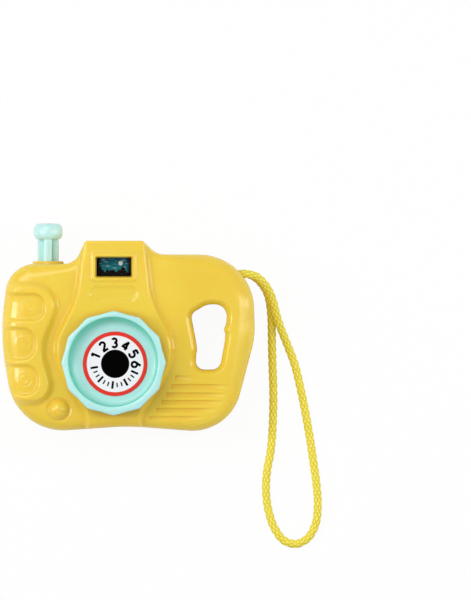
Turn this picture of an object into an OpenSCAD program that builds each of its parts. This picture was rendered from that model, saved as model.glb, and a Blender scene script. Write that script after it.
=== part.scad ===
// Toy camera that shows pictures: two moulded shells, a lens ring, a shutter plunger that turns a
// wheel of small pictures one step at a press, a window in front, an eyepiece behind and a wrist strap.
// It lies on its back: X to the right, Y to the top of the camera, Z out of the lens.
// The origin is on the lens axis, on the flat back.

/* [Body outline] */
// Lens axis to the left side
left_reach = 50; // [48:0.5:56]
// Lens axis to the right side
right_reach = 61.7; // [60:0.5:70]
// Lens axis to the lowest part of the two feet
foot_reach = 31; // [30:0.5:36]
// Height of the arch between the two feet
foot_arch = 3.4; // [1:0.2:5]
// Lens axis to the top of the left shoulder
left_shoulder = 43.4; // [42:0.2:48]
// Lens axis to the top of the right shoulder
right_shoulder = 47.4; // [46:0.2:52]
// Lens axis to the top of the finder hump
hump_top = 53.4; // [52:0.2:58]
// Width of the finder hump at its top
hump_w = 25; // [24:0.5:28]
// Radius of the upper left corner
upper_left_r = 13.2; // [9:0.2:15]
// Radius of the lower left corner
lower_left_r = 24.5; // [16:0.5:27]
// Radius of the lower right corner
lower_right_r = 21.5; // [16:0.5:24]
// Radius of the upper right corner
upper_right_r = 24; // [14:0.5:26]

/* [Shells] */
// Back plane to the front face
body_depth = 29; // [28:0.5:33]
// Parting line of the shells to the front face
front_depth = 14; // [13:0.2:15]
// Wall of the shells
wall = 2; // [1.6:0.1:2.4]
// Rounding of the sides towards the front
side_round = 9; // [6:0.5:10]
// Rounding of the shoulders towards the front
shoulder_round = 4; // [3:0.5:5]
// Rounding of the sides towards the back
back_round = 7; // [5:0.5:8]
// Rounding of the edge of the hump
crest_round = 1; // [0.8:0.1:1.1]
// How far the centre panel and the finger grip stand out of the front face
raise = 2.6; // [2:0.1:3.2]

/* [Centre panel] */
// Half width of the panel under the hump, at its waist
panel_waist = 16.5; // [15.5:0.25:18]
// Half width of the panel at the lens, before its rounding
panel_belly = 28.7; // [27.5:0.25:31]
// Half width of the panel's foot
panel_foot = 11.4; // [10:0.2:14]

/* [Finger grip] */
// Width of the grip pad from the left side
grip_w = 29.2; // [27:0.2:31]
// Height of the grip pad
grip_h = 52.2; // [48:0.2:54]
// How far the pad's right side is drawn in at the middle
grip_waist = 10.4; // [7:0.2:12]
// Depth of the three finger recesses
recess_depth = 1.3; // [0.8:0.1:1.8]

/* [Handle hole] */
// Width of the handle bar beside the hole
handle_w = 12; // [11:0.1:14]
// Room of the picture wheel to the wall of the hole
hole_gap = 4.9; // [4:0.1:6]
// Height of the hole
hole_h = 28.6; // [26:0.1:30]
// Lens axis to the bottom of the hole
hole_drop = 3; // [1:0.2:4]
// Rounding of the hole's rim
hole_lip = 2.2; // [1.2:0.1:2.6]

/* [Lens ring] */
// Radius of the twelve corners
ring_r = 22.8; // [21.5:0.1:24]
// Height of the ring in front of the panel
ring_h = 8.4; // [6.5:0.1:10]
// Radius of the dish at the rim
dish_r = 19.2; // [17.5:0.1:20]
// Radius of the dish floor
dish_floor_r = 17.6; // [16.5:0.1:18]
// Thickness of the dish floor
dish_floor_t = 1.8; // [1.4:0.1:2.4]
// Radius of the round label
label_r = 14.1; // [12:0.1:15]
// Diameter of the staked pegs
peg_d = 3.2; // [2.6:0.1:4]

/* [Picture window] */
// Width of the picture
picture_w = 15; // [13:0.2:15.2]
// Height of the picture
picture_h = 8; // [7:0.1:8.2]
// Top of the hump to the middle of the picture
picture_drop = 11.5; // [11:0.1:12.5]
// Thickness of the window pane
pane_t = 1.2; // [0.8:0.1:1.4]

/* [Picture wheel] */
// Middle of the wheel to the middle of a picture
picture_r = 21; // [20.5:0.1:21.5]
// Outer radius of the wheel
wheel_r = 26.6; // [26.4:0.1:27]
// Thickness of the wheel's disc
wheel_t = 1.7; // [1.2:0.1:2]
// Thickness of the printed film
film_t = 0.25; // [0.15:0.05:0.4]
// Diameter of the wheel's stud
stud_d = 5; // [4:0.1:5.6]
// Tip radius of the ratchet teeth
ratchet_r = 9.9; // [9.7:0.05:10.1]
// Depth of the ratchet teeth
tooth_depth = 2.8; // [2:0.1:3]

/* [Shutter plunger] */
// Left side of the body to the plunger's axis
button_inset = 21.1; // [20.5:0.1:22]
// Diameter of the button's cap
cap_d = 12.6; // [11:0.1:14]
// Height of the button's cap
cap_h = 7; // [5:0.1:9]
// Width across the cross-shaped stem
stem_w = 9.2; // [8:0.1:9.6]
// Thickness of the stem's ribs
stem_rib = 3.2; // [2.4:0.1:4]
// Top of the collar to the underside of the cap, at rest
stem_show = 9.6; // [8.5:0.1:12]
// Travel of the button
press_travel = 9.4; // [9.2:0.05:9.4]
// Outer diameter of the collar round the stem
collar_d = 13.5; // [12:0.1:15]
// Wire of the return spring
spring_wire = 0.9; // [0.6:0.05:1]
// Middle radius of the return spring
spring_r = 3.2; // [2.8:0.1:3.5]
// Turns of the return spring
spring_turns = 8; // [6:1:9]

/* [Eyepiece] */
// Diameter of the magnifier
lens_d = 15; // [13:0.2:15.6]
// Thickness of the magnifier at its edge
lens_edge = 1.6; // [1.2:0.1:2]
// Bulge of the magnifier on each side
lens_bulge = 1.2; // [0.8:0.1:1.6]

/* [Screws] */
// Outer diameter of the screw posts
post_d = 7; // [6:0.2:7.6]
// Shank diameter of the shell screws
screw_d = 2.6; // [2:0.1:3]
// Length of the shell screws under the head
screw_len = 18; // [15:0.5:19]
// Shank diameter of the small screws
small_screw_d = 2.2; // [1.8:0.1:2.4]

/* [Strap] */
// Diameter of the braided cord
cord_d = 3.7; // [3:0.1:3.8]

/* [Fits] */
// Running clearance round moving pieces, on the radius
running = 0.15; // [0.1:0.05:0.25]
// Clearance round seated pieces, on the radius
seated = 0.05; // [0.02:0.01:0.1]
// Gap between faces that pass each other
passing = 0.35; // [0.25:0.05:0.5]

/* [Hidden] */
$fn = 48;

body_colour = "#efcb4a";
trim_colour = "#a8e6df";
metal_colour = "#b9bcc0";
inner_colour = "#e9e6dc";
picture_colour = "#0d6a7c";
cord_colour = "#efe030";

// Turn of an outline between two of its points, in degrees
facet_angle = 11;
// Shortest side of an outline's arc
facet_side = 0.5;
// Steps of a rounded edge
round_steps = 4;
// Overlap that makes two shapes one solid, and the reach of a cut past a face
sink = 0.5;

// Slants of the body's sides, as offsets of their ends
lean_upper_left = 4.3;
lean_lower_left = 7.5;
lean_upper_right = 1.4;
lean_lower_right = 11.2;
left_bow_y = 12.5;
left_bow_r = 95;
right_bow_y = 11.5;
right_bow_r = 36;
arch_x = 6;
arch_r = 100;
hump_foot_left = 4.6;
hump_foot_right = 6.2;
hump_foot_left_r = 7;
hump_foot_right_r = 9;
// Least rounding of the corners and edges inside the shells
inner_corner_r = 0.8;
inner_edge_r = 0.4;

// Levels from the back plane
parting = body_depth - front_depth;
panel_z = body_depth + raise;
face_inner = body_depth - wall;
panel_inner = panel_z - wall;
film_front = face_inner - 1.5 * passing;
wheel_front = film_front - film_t;
wheel_back = wheel_front - wheel_t;
pawl_t = 2;
pawl_front = wheel_back - 1.1;
pawl_back = pawl_front - pawl_t;
ratchet_back = pawl_back - passing;
hub_back = ratchet_back - passing;

// The wheel's axis and the picture's middle
picture_y = hump_top - picture_drop;
wheel_y = picture_y - picture_r;
picture_count = 6;
picture_step = 360 / picture_count;

// The plunger, from its cap down to its foot
button_x = -left_reach + button_inset;
collar_top = left_shoulder + 1.1;
cap_bottom = collar_top + stem_show;
flange_top = left_shoulder - wall - passing;
flange_t = 2;
pawl_eye_y = wheel_y + 13;
foot_bottom = pawl_eye_y - 6;
spring_seat_y = foot_bottom - spring_turns * spring_wire - press_travel - 2.4;
spigot_h = 2.6;

// The pawl's nose lies on a tooth that stands half a step above the wheel's axis
nose_y = wheel_y + ratchet_r * sin(picture_step / 2) + 0.3;
nose_tip_x = 2.2 - ratchet_r;
nose_heel_x = nose_tip_x - 3;

// The handle hole
hole_left = wheel_r + wall + hole_gap;
hole_w = right_reach - handle_w - hole_left;

// The strap leaves the upper right corner along X, one strand in each shell
strap_y = right_shoulder - 8.6;
strap_step = cord_d + 0.2;
strap_way_d = cord_d + 2 * running + 0.5;
knot_face_x = right_reach - 14.7;
knot_r = 4.4;

// Places of the shell screws
screw_places = [
    [-0.81 * left_reach, 0.749 * left_shoulder],
    [-0.74 * left_reach, -0.452 * foot_reach],
    [0.729 * right_reach, -0.484 * foot_reach],
    [0.535 * right_reach, 0.812 * right_shoulder]
];
screw_seat_z = 6;
screw_head_d = 1.92 * screw_d;
screw_head_h = 1.9;
small_head_h = 0.8;

// How far the label is stuck off the lens axis
label_shift = [0.6, -0.35];

// Place of the click spring's screw, under the wheel
click_place = [0.6 * wheel_r, wheel_y - 1.162 * wheel_r];
eye_d = 2 * small_screw_d + 1.6;
click_t = 1.5;
click_front = wheel_front - 0.15;

// The eyepiece, from the back
eyepiece_seat = 3.2;
eyepiece_tube_d = lens_d + 2 * seated + 2.6;
eyepiece_tube_top = hub_back - 3;
eyepiece_ring_h = 2.6;

// The three finger recesses: bottom, top and distance from the right side, as shares of the grip pad
finger_recesses = [[0.686, 0.92, 0.192], [0.36, 0.632, 0.452], [0.065, 0.322, 0.411]];

// Grooves in the lower right of the front: height as a share of the feet's reach, ends of the right reach
groove_h = 1.3;
groove_depth = 0.9;
grooves = [[-0.206, 0.434, 0.58], [-0.329, 0.407, 0.836], [-0.448, 0.371, 0.825],
           [-0.555, 0.337, 0.806], [-0.665, 0.301, 0.759], [-0.777, 0.254, 0.665]];

// The dome at the lower left and its shallow pocket
dome_place = [-0.48 * left_reach, -0.658 * foot_reach];
dome_r = 4.35;
dome_h = 2.4;

// The corner and the height that the route is drawn for
route_home = [61.7, 38.8, 15];
route_lay = 1.85;
// The strap's route out of the upper strand and back into the lower one
strap_route = [
    [58.6, 38.8, 13.0], [61.7, 37.4, 11.2], [64.9, 34.2, 8.5], [67.2, 30, 5.8], [68.3, 25.3, 3.7],
    [68.8, 20.5, 2.4], [69, 15, 1.9], [69.1, 8, 1.85], [69.3, 0, 1.85], [69.7, -12, 1.85],
    [69.5, -26, 1.85], [68.5, -39, 1.85], [66.9, -48, 1.85], [66.5, -57, 1.85], [67.7, -65.5, 1.85],
    [70.4, -73, 1.85], [74.6, -78.2, 1.85], [79.4, -79.6, 1.85], [84.4, -77.4, 1.85],
    [88, -71.6, 1.85], [89.2, -63, 1.85], [88.7, -54, 1.85], [87.2, -43, 1.85], [84.8, -27.5, 1.85],
    [81.9, -12.5, 1.85], [79, -0.5, 1.85], [75.6, 8.5, 2.3], [73, 15, 4.2], [71.2, 20.5, 6.2],
    [69.9, 25.8, 8], [68.2, 30.6, 10.1], [65.5, 34.9, 12.7], [62, 37.9, 15.2], [58.8, 38.8, 16.8]
];

// Vectors and outlines

function unit(v) = v / norm(v);
function right_of(d) = [d[1], -d[0]];
function turned(d, a) = [d[0] * cos(a) - d[1] * sin(a), d[0] * sin(a) + d[1] * cos(a)];
function turn_between(a, b) = atan2(a[0] * b[1] - a[1] * b[0], a[0] * b[0] + a[1] * b[1]);

// One corner of an outline as an arc: each point is [x, y, outward x, outward y, edge rounding]
function corner_arc(before, at, after) =
    let (
        d1 = unit([at[0] - before[0], at[1] - before[1]]),
        d2 = unit([after[0] - at[0], after[1] - at[1]]),
        turn = turn_between(d1, d2),
        r = at[2] * sign(turn),
        start = [at[0], at[1]] - d1 * abs(r) * tan(abs(turn) / 2),
        by_length = abs(r * turn) * PI / 180 / facet_side,
        steps = max(1, ceil(min(abs(turn) / facet_angle, by_length)))
    )
    [for (k = [0:steps])
        let (n = right_of(turned(d1, turn * k / steps)), p = start + r * (n - right_of(d1)))
        [p[0], p[1], n[0], n[1], at[3]]];

// A counterclockwise outline from corners [x, y, radius, edge rounding]
function outline(corners) =
    let (count = len(corners))
    [for (i = [0:count - 1])
        each corner_arc(corners[(i + count - 1) % count], corners[i], corners[(i + 1) % count])];

// The corners of an outline whose sides are moved inwards by d
function inset_corners(corners, d) =
    let (count = len(corners))
    [for (i = [0:count - 1])
        let (
            before = corners[(i + count - 1) % count],
            at = corners[i],
            after = corners[(i + 1) % count],
            d1 = unit([at[0] - before[0], at[1] - before[1]]),
            d2 = unit([after[0] - at[0], after[1] - at[1]]),
            n1 = right_of(d1),
            n2 = right_of(d2),
            p = [at[0], at[1]] - d * (n1 + n2) / (1 + n1 * n2)
        )
        [p[0], p[1], max(at[2] - d * sign(turn_between(d1, d2)), inner_corner_r),
         max(at[3] - d, inner_edge_r)]];

// The flat points of an outline, moved inwards by d
function flat(line, d = 0) = [for (q = line) [q[0] - d * q[2], q[1] - d * q[3]]];

// The same points at a height
function ring(line, d, z) = [for (q = line) [q[0] - d * q[2], q[1] - d * q[3], z]];

function body_corners(side, shoulder, crest) = [
    [arch_x, foot_arch - foot_reach, arch_r, side],
    [right_reach - lean_lower_right, -foot_reach, lower_right_r, side],
    [right_reach, right_bow_y, right_bow_r, side],
    [right_reach - lean_upper_right, right_shoulder, upper_right_r, side],
    [hump_w / 2 + hump_foot_right, right_shoulder, hump_foot_right_r, shoulder],
    [hump_w / 2, hump_top, crest_round + 0.6, crest],
    [-hump_w / 2, hump_top, crest_round + 0.6, crest],
    [-hump_w / 2 - hump_foot_left, left_shoulder, hump_foot_left_r, shoulder],
    [-left_reach + lean_upper_left, left_shoulder, upper_left_r, shoulder],
    [-left_reach, left_bow_y, left_bow_r, side],
    [-left_reach + lean_lower_left, -foot_reach, lower_left_r, side]
];

panel_turn_y = -22;

// The centre panel: a bottle shape from above the hump down past the feet, each half a mirror image
function panel_half(d, top, bottom) = [
    [panel_foot - d, bottom, 0.01, 0],
    each bottom < panel_turn_y - 3 ? [[panel_foot + 0.8 - d, panel_turn_y, 8, 0]] : [],
    [panel_belly - d, 4, 22, 0],
    [panel_waist - d, 28.3, 40, 0],
    [hump_w / 2 + 0.2 - d, top, 0.01, 0]
];
function mirrored(half) = [for (i = [len(half) - 1:-1:0]) [-half[i][0], half[i][1], half[i][2], half[i][3]]];
function panel_outline(d, top, bottom) =
    let (half = panel_half(d, top, bottom))
    outline(concat(half, mirrored(half)));

grip_right = -left_reach + grip_w;
grip_top = left_shoulder - 8.8;
grip_bottom = grip_top - grip_h;
function grip_outline() = outline([
    [-left_reach - 5, grip_bottom, 0.01, 0],
    [grip_right - 4, grip_bottom, 8, 0],
    [grip_right - grip_waist, grip_bottom + 0.46 * grip_h, 18, 0],
    [grip_right, grip_top, 10, 0],
    [-left_reach - 5, grip_top, 0.01, 0]
]);

function recess_outline(r) =
    let (low = grip_bottom + r[0] * grip_h, high = grip_bottom + r[1] * grip_h,
         right = grip_right - r[2] * grip_w, bow = 0.42 * (high - low))
    outline([
        [-left_reach + 3.5, low, 1, 0],
        [right, low + 0.6, bow, 0],
        [right, high - 0.6, bow, 0],
        [-left_reach + 3.5, high, 1, 0]
    ]);

function hole_outline() = outline([
    for (q = [[0.124, 0, 0.225], [0.781, 0, 0.26], [0.923, 0.444, 1.18], [1, 1, 0.32],
              [0.438, 1, 0.53], [0, 0.854, 0.2], [0.16, 0.376, 1.06]])
        [hole_left + q[0] * hole_w, q[1] * hole_h - hole_drop, q[2] * hole_w, 0]
]);

// Solids from rings of points

// A solid between rings of equal length, each cap a fan round its own middle
module loft(rings) {
    n = len(rings[0]);
    last = len(rings) - 1;
    points = [for (r = rings) each r];
    middles = [for (r = [rings[0], rings[last]]) [for (k = [0:2]) [for (p = r) 1] * [for (p = r) p[k]] / n]];
    low = len(points);
    sides = [for (j = [0:last - 1], i = [0:n - 1])
        let (a = j * n + i, b = j * n + (i + 1) % n)
        each [[a, a + n, b], [b, a + n, b + n]]];
    floor_fan = [for (i = [0:n - 1]) [low, i, (i + 1) % n]];
    roof_fan = [for (i = [0:n - 1]) [low + 1, last * n + (i + 1) % n, last * n + i]];
    polyhedron(concat(points, middles), concat(sides, floor_fan, roof_fan));
}

// A body half from its flat parting face to a face with rounded edges
module rounded_half(line, z_part, z_face) {
    toward = sign(z_face - z_part);
    rings = [
        ring(line, 0, z_part),
        for (k = [0:round_steps])
            let (a = 90 * k / round_steps)
            [for (q = line)
                let (d = q[4] * (1 - cos(a)))
                [q[0] - d * q[2], q[1] - d * q[3], z_face - toward * q[4] * (1 - sin(a))]]
    ];
    if (toward > 0) loft(rings);
    else loft([for (k = [len(rings) - 1:-1:0]) rings[k]]);
}

// A tube of flat-sided rings along points, its sides counted round a fixed direction
module tube(points, r, sides, up) {
    last = len(points) - 1;
    loft([for (i = [0:last])
        let (
            d = unit(points[min(i + 1, last)] - points[max(i - 1, 0)]),
            s = unit(cross(up, d)),
            u = cross(d, s)
        )
        [for (k = [0:sides - 1])
            points[i] + r * (cos(360 * k / sides) * s + sin(360 * k / sides) * u)]]);
}

// A prism of an outline between two heights
module prism(line, z0, z1, d = 0) {
    translate([0, 0, z0]) linear_extrude(z1 - z0) polygon(flat(line, d));
}

// A rectangle's prism whose sides slope from one size to another
module sloped_block(size0, z0, size1, z1) {
    function corners(s, z) = [for (c = [[-1, -1], [1, -1], [1, 1], [-1, 1]]) [c[0] * s[0] / 2, c[1] * s[1] / 2, z]];
    loft([corners(size0, z0), corners(size1, z1)]);
}

// A post or a hole along Z
module post(place, d, z0, z1) {
    translate([place[0], place[1], z0]) cylinder(d = d, h = z1 - z0);
}

// Places a shape that stands along Z on the plunger's axis, from height y upwards
module on_plunger(y) {
    translate([button_x, y, parting]) rotate([-90, 0, 0]) children();
}

// A pan-head screw along Z: head below z, shank above it
module screw(place, z, d, length, head_d, head_h) {
    translate([place[0], place[1], z]) {
        cylinder(d = d, h = length - d / 2);
        translate([0, 0, length - d / 2]) cylinder(d1 = d, d2 = 0.4 * d, h = d / 2);
        difference() {
            translate([0, 0, -head_h]) cylinder(d1 = 0.8 * head_d, d2 = head_d, h = head_h);
            for (a = [0, 90])
                rotate([0, 0, a])
                    translate([-0.3 * head_d, -0.4, -head_h - sink])
                        cube([0.6 * head_d, 0.8, sink + 0.5 * head_h]);
        }
    }
}

// Shells

front_corners = body_corners(side_round, shoulder_round, crest_round);
back_corners = body_corners(back_round, shoulder_round, crest_round);
front_line = outline(front_corners);
front_inner_line = outline(inset_corners(front_corners, wall));
back_line = outline(back_corners);
back_inner_line = outline(inset_corners(back_corners, wall));
hole_line = hole_outline();
panel_line = panel_outline(0, hump_top + 5, -foot_reach - 5);
grip_line = grip_outline();

// The way through the shells round the handle hole
module hole_tube(z0, z1) {
    prism(hole_line, z0, z1, -wall);
}

// Cuts the hole and rounds its rim towards a face
module hole_cut(z_face) {
    toward = z_face > parting ? 1 : -1;
    steps = [for (k = [0:3]) 30 * k];
    prism(hole_line, -sink, panel_z + sink);
    rings = [
        for (a = steps) ring(hole_line, -hole_lip * (1 - cos(a)), z_face - toward * hole_lip * (1 - sin(a))),
        ring(hole_line, -hole_lip, z_face + toward * sink)
    ];
    if (toward > 0) loft(rings);
    else loft([for (k = [len(rings) - 1:-1:0]) rings[k]]);
}

// The bore of the plunger and the two ways of the strap, each cut half by each shell
module parting_cuts() {
    on_plunger(flange_top - sink) cylinder(d = stem_w + 2 * running, h = collar_top - flange_top + 2 * sink);
    for (side = [-1, 1])
        translate([knot_face_x - 2, strap_y, parting + side * strap_step / 2])
            rotate([0, 90, 0]) cylinder(d = strap_way_d, h = 20);
    translate([knot_face_x - 2, strap_y - strap_way_d / 2, parting - strap_step / 2])
        cube([20, strap_way_d, strap_step]);
}

module collar() {
    on_plunger(left_shoulder - wall) cylinder(d = collar_d, h = wall + collar_top - left_shoulder);
}

module front_half_space() {
    translate([-200, -200, parting]) cube([400, 400, 100]);
}

module front_outside() {
    rounded_half(front_line, parting, body_depth);
    intersection() {
        rounded_half(front_line, parting, panel_z);
        union() {
            prism(panel_line, face_inner, panel_z + sink);
            prism(grip_line, parting + 1, panel_z + sink);
        }
    }
    intersection() {
        collar();
        front_half_space();
    }
    translate([0, picture_y, 0])
        sloped_block([picture_w + 4.6, picture_h + 4.6], panel_z - sink, [picture_w + 4, picture_h + 4], panel_z + 0.6);
    intersection() {
        translate([dome_place[0], dome_place[1], body_depth + dome_h - dome_ball_r()]) sphere(dome_ball_r());
        post(dome_place, 2 * dome_r, body_depth - sink, body_depth + dome_h);
    }
}

// Radius of the ball whose cap has the dome's height and width
function dome_ball_r() = (dome_r * dome_r + dome_h * dome_h) / (2 * dome_h);

module front_inside() {
    difference() {
        rounded_half(front_inner_line, parting - sink, face_inner);
        hole_tube(parting - 1, body_depth);
    }
    prism(panel_outline(wall, hump_top - wall, -foot_reach + side_round), face_inner - sink, panel_inner);
}

module front_posts() {
    for (place = screw_places) post(place, post_d, parting, face_inner + sink);
    post([0, wheel_y], stud_d + 4, wheel_front + passing, panel_inner + sink);
    post([0, wheel_y], stud_d, hub_back, panel_inner + sink);
    post(click_place, 6, click_front, panel_inner + sink);
    translate([0, picture_y, panel_inner - pane_t])
        linear_extrude(pane_t + sink)
            difference() {
                square([picture_w + 6, picture_h + 6], center = true);
                square(pane_size() + 2 * seated * [1, 1], center = true);
            }
}

function pane_size() = [picture_w + 3.4, picture_h + 3.4];

module front_cuts() {
    for (place = screw_places) post(place, screw_d + 2 * seated, parting - sink, screw_seat_z + screw_len + 1);
    post([0, wheel_y], small_screw_d + 2 * seated, hub_back - sink, hub_back + 8);
    post(click_place, small_screw_d + 2 * seated, click_front - sink, panel_inner + 0.6);
    translate([0, picture_y, 0])
        sloped_block([picture_w, picture_h], panel_inner - sink, [picture_w + 1.2, picture_h + 1.2], panel_z + 0.7);
    translate([0, picture_y - 11.6, panel_z - 0.6])
        linear_extrude(1) {
            square([14.2, 6.5], center = true);
            for (side = [-1, 1]) translate([side * 7.1, 0]) circle(d = 6.5);
        }
    for (r = finger_recesses) prism(recess_outline(r), panel_z - recess_depth, panel_z + sink);
    for (g = grooves)
        translate([g[1] * right_reach, g[0] * foot_reach - groove_h / 2, body_depth - groove_depth])
            cube([(g[2] - g[1]) * right_reach, groove_h, groove_depth + sink]);
    for (place = peg_places()) post(place, peg_d + 2 * seated, panel_inner - sink, panel_z + sink);
    hole_cut(body_depth);
    parting_cuts();
}

// Three pegs hold the lens ring
function peg_places() = [for (a = [90, 210, 330]) 0.62 * dish_floor_r * [cos(a), sin(a)]];

module front_shell() {
    color(body_colour)
        difference() {
            union() {
                difference() {
                    front_outside();
                    front_inside();
                }
                front_posts();
            }
            front_cuts();
        }
}

module rear_posts() {
    for (place = screw_places) post(place, post_d, wall - sink, parting);
    post([0, picture_y], eyepiece_tube_d, wall - sink, eyepiece_tube_top);
    translate([button_x - 5, spring_seat_y - 2.5, wall - sink])
        cube([10, 2.5, parting + spring_r - wall + sink]);
    on_plunger(spring_seat_y - sink) cylinder(r = spring_r - spring_wire, h = spigot_h + sink);
}

module rear_cuts() {
    for (place = screw_places) {
        post(place, screw_d + 2 * running, screw_seat_z - sink, parting + sink);
        post(place, screw_head_d + 4 * running, -sink, screw_seat_z);
    }
    post([0, picture_y], lens_d + 2 * seated, eyepiece_seat, eyepiece_tube_top + sink);
    translate([0, picture_y, -0.01])
        cylinder(d1 = lens_d + 4, d2 = lens_d - 2.4, h = eyepiece_seat + 0.02);
    hole_cut(0);
    parting_cuts();
}

module rear_shell() {
    color(body_colour)
        difference() {
            union() {
                difference() {
                    union() {
                        rounded_half(back_line, parting, 0);
                        difference() {
                            collar();
                            front_half_space();
                        }
                    }
                    difference() {
                        rounded_half(back_inner_line, parting + sink, wall);
                        hole_tube(0, parting + 1);
                    }
                }
                rear_posts();
            }
            rear_cuts();
        }
}

// Lens

module lens_ring() {
    floor_z = panel_z + dish_floor_t;
    top_z = panel_z + ring_h;
    color(trim_colour) {
        difference() {
            translate([0, 0, panel_z]) cylinder(r = ring_r, h = ring_h, $fn = 12);
            rotate_extrude()
                polygon([[0, floor_z], [dish_floor_r - 0.8, floor_z], [dish_floor_r, floor_z + 0.8],
                         [dish_r, top_z - 0.4], [dish_r + 0.4, top_z + sink], [0, top_z + sink]]);
        }
        for (place = peg_places()) {
            post(place, peg_d, panel_inner - 0.6, panel_z + sink);
            post(place, peg_d + 1.4, panel_inner - 0.9, panel_inner - 0.1);
        }
    }
}

module lens_label() {
    color("white") post(label_shift, 2 * label_r, panel_z + dish_floor_t, panel_z + dish_floor_t + 0.2);
}

// Picture window, wheel and film

module front_window() {
    color("lightblue", 0.4)
        translate([0, picture_y, panel_inner - pane_t])
            linear_extrude(pane_t) square(pane_size(), center = true);
}

// The pictures' frames round the wheel, one of them at the window
module picture_frames(size) {
    for (k = [0:picture_count - 1])
        rotate(k * picture_step) translate([0, picture_r]) square(size, center = true);
}

// Saw teeth whose upright sides face the pawl
function ratchet_points() = [for (k = [0:picture_count - 1])
    let (a = 90 + picture_step * (k + 1))
    each [(ratchet_r - tooth_depth) * [cos(a), sin(a)], ratchet_r * [cos(a), sin(a)]]];

module picture_wheel() {
    hub_d = stud_d + 5;
    color(inner_colour)
        translate([0, wheel_y, 0]) {
            translate([0, 0, wheel_back])
                linear_extrude(wheel_t)
                    difference() {
                        circle(wheel_r);
                        circle(d = stud_d + 2 * running);
                        picture_frames([picture_w - 1, picture_h - 0.6]);
                        for (k = [0:picture_count - 1])
                            rotate(30 + k * picture_step) translate([wheel_r, 0]) rotate(45) square(1.8, center = true);
                    }
            translate([0, 0, ratchet_back])
                linear_extrude(wheel_back - ratchet_back + sink)
                    difference() {
                        polygon(ratchet_points());
                        circle(d = stud_d + 2 * running);
                    }
            translate([0, 0, hub_back + 0.1])
                linear_extrude(wheel_back - hub_back)
                    difference() {
                        circle(d = hub_d);
                        circle(d = stud_d + 2 * running);
                    }
        }
}

module picture_film() {
    color(picture_colour)
        translate([0, wheel_y, wheel_front])
            linear_extrude(film_t)
                difference() {
                    circle(wheel_r - 0.3);
                    circle(picture_r - picture_h / 2 - 2);
                }
}

module wheel_washer() {
    color(metal_colour)
        difference() {
            post([0, wheel_y], stud_d + 4, hub_back - 0.6, hub_back);
            post([0, wheel_y], small_screw_d + 2 * seated, hub_back - 1, hub_back + 1);
        }
}

module wheel_screw() {
    color(metal_colour) screw([0, wheel_y], hub_back - 0.6, small_screw_d, 0.7 * (panel_z - hub_back), 2 * small_screw_d, 1.4);
}

// A leaf whose nose lies in a notch under the wheel
module click_spring() {
    nose = [0, wheel_y - wheel_r + 0.6];
    color(inner_colour)
        translate([0, 0, click_front - click_t])
            linear_extrude(click_t)
                difference() {
                    union() {
                        translate(click_place) circle(d = eye_d);
                        polygon([
                            click_place + [-1, 2.6], nose + [1.5, -1.7], nose, nose + [-1.5, -1.7],
                            nose + [-1.5, -2.7], nose + [2, -2.9], click_place + [-2, 1]
                        ]);
                    }
                    translate(click_place) circle(d = small_screw_d + 2 * seated);
                }
}

module click_screw() {
    color(metal_colour)
        screw(click_place, click_front - click_t, small_screw_d, click_t + panel_inner - click_front, 2 * small_screw_d, 1.4);
}

// Shutter

module plunger_cap() {
    on_plunger(cap_bottom)
        rotate_extrude()
            polygon(concat(
                [[0, 0], [cap_d / 2 - 1.4, 0]],
                [for (a = [-60:30:0]) [cap_d / 2 - 1.4 + 1.4 * cos(a), 1.6 + 1.6 * sin(a)]],
                [for (a = [0:15:75]) [cap_d / 2 - 2.2 + 2.2 * cos(a), cap_h - 2.6 + 2.2 * sin(a)]],
                [[0, cap_h]]
            ));
}

module plunger_stem() {
    on_plunger(foot_bottom)
        linear_extrude(cap_bottom + sink - foot_bottom)
            intersection() {
                circle(d = stem_w);
                union() {
                    square([stem_w, stem_rib], center = true);
                    square([stem_rib, stem_w], center = true);
                }
            }
    on_plunger(flange_top - flange_t) cylinder(d = collar_d - 1.1, h = flange_t);
    on_plunger(foot_bottom) cylinder(d = stem_w, h = 2);
    on_plunger(foot_bottom - spigot_h) cylinder(r = spring_r - spring_wire, h = spigot_h + sink);
    translate([button_x - eye_d / 2, pawl_eye_y - eye_d / 2 - 0.4, parting])
        cube([eye_d, eye_d + 0.8, pawl_back - parting]);
}

module shutter_button() {
    color(trim_colour)
        difference() {
            union() {
                plunger_cap();
                plunger_stem();
            }
            post([button_x, pawl_eye_y], small_screw_d + 2 * seated, pawl_back - 3.6, pawl_back + sink);
        }
}

module drive_pawl() {
    color(inner_colour)
        translate([0, 0, pawl_back])
            linear_extrude(pawl_t)
                difference() {
                    union() {
                        translate([button_x, pawl_eye_y]) circle(d = eye_d);
                        polygon([
                            [button_x, pawl_eye_y - 1.6], [nose_heel_x - 1.2, nose_y + 1.6],
                            [nose_heel_x, nose_y], [nose_tip_x, nose_y],
                            [nose_heel_x + 0.6, nose_y + 4.2], [button_x, pawl_eye_y + 1.6]
                        ]);
                    }
                    translate([button_x, pawl_eye_y]) circle(d = small_screw_d + 2 * seated);
                }
}

module pawl_screw() {
    color(metal_colour)
        mirror([0, 0, 1])
            screw([button_x, pawl_eye_y], -pawl_front, small_screw_d, pawl_t + 3, 2 * small_screw_d, small_head_h);
}

module return_spring() {
    rings = 8;
    count = spring_turns * rings;
    rest = foot_bottom - spring_seat_y - spring_wire - 0.2;
    points = [for (i = [0:count])
        let (a = 360 * i / rings)
        [button_x + spring_r * cos(a), spring_seat_y + spring_wire / 2 + 0.1 + rest * i / count,
         parting + spring_r * sin(a)]];
    color(metal_colour) tube(points, spring_wire / 2, 6, [0, 1, 0]);
}

// Eyepiece

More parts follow.
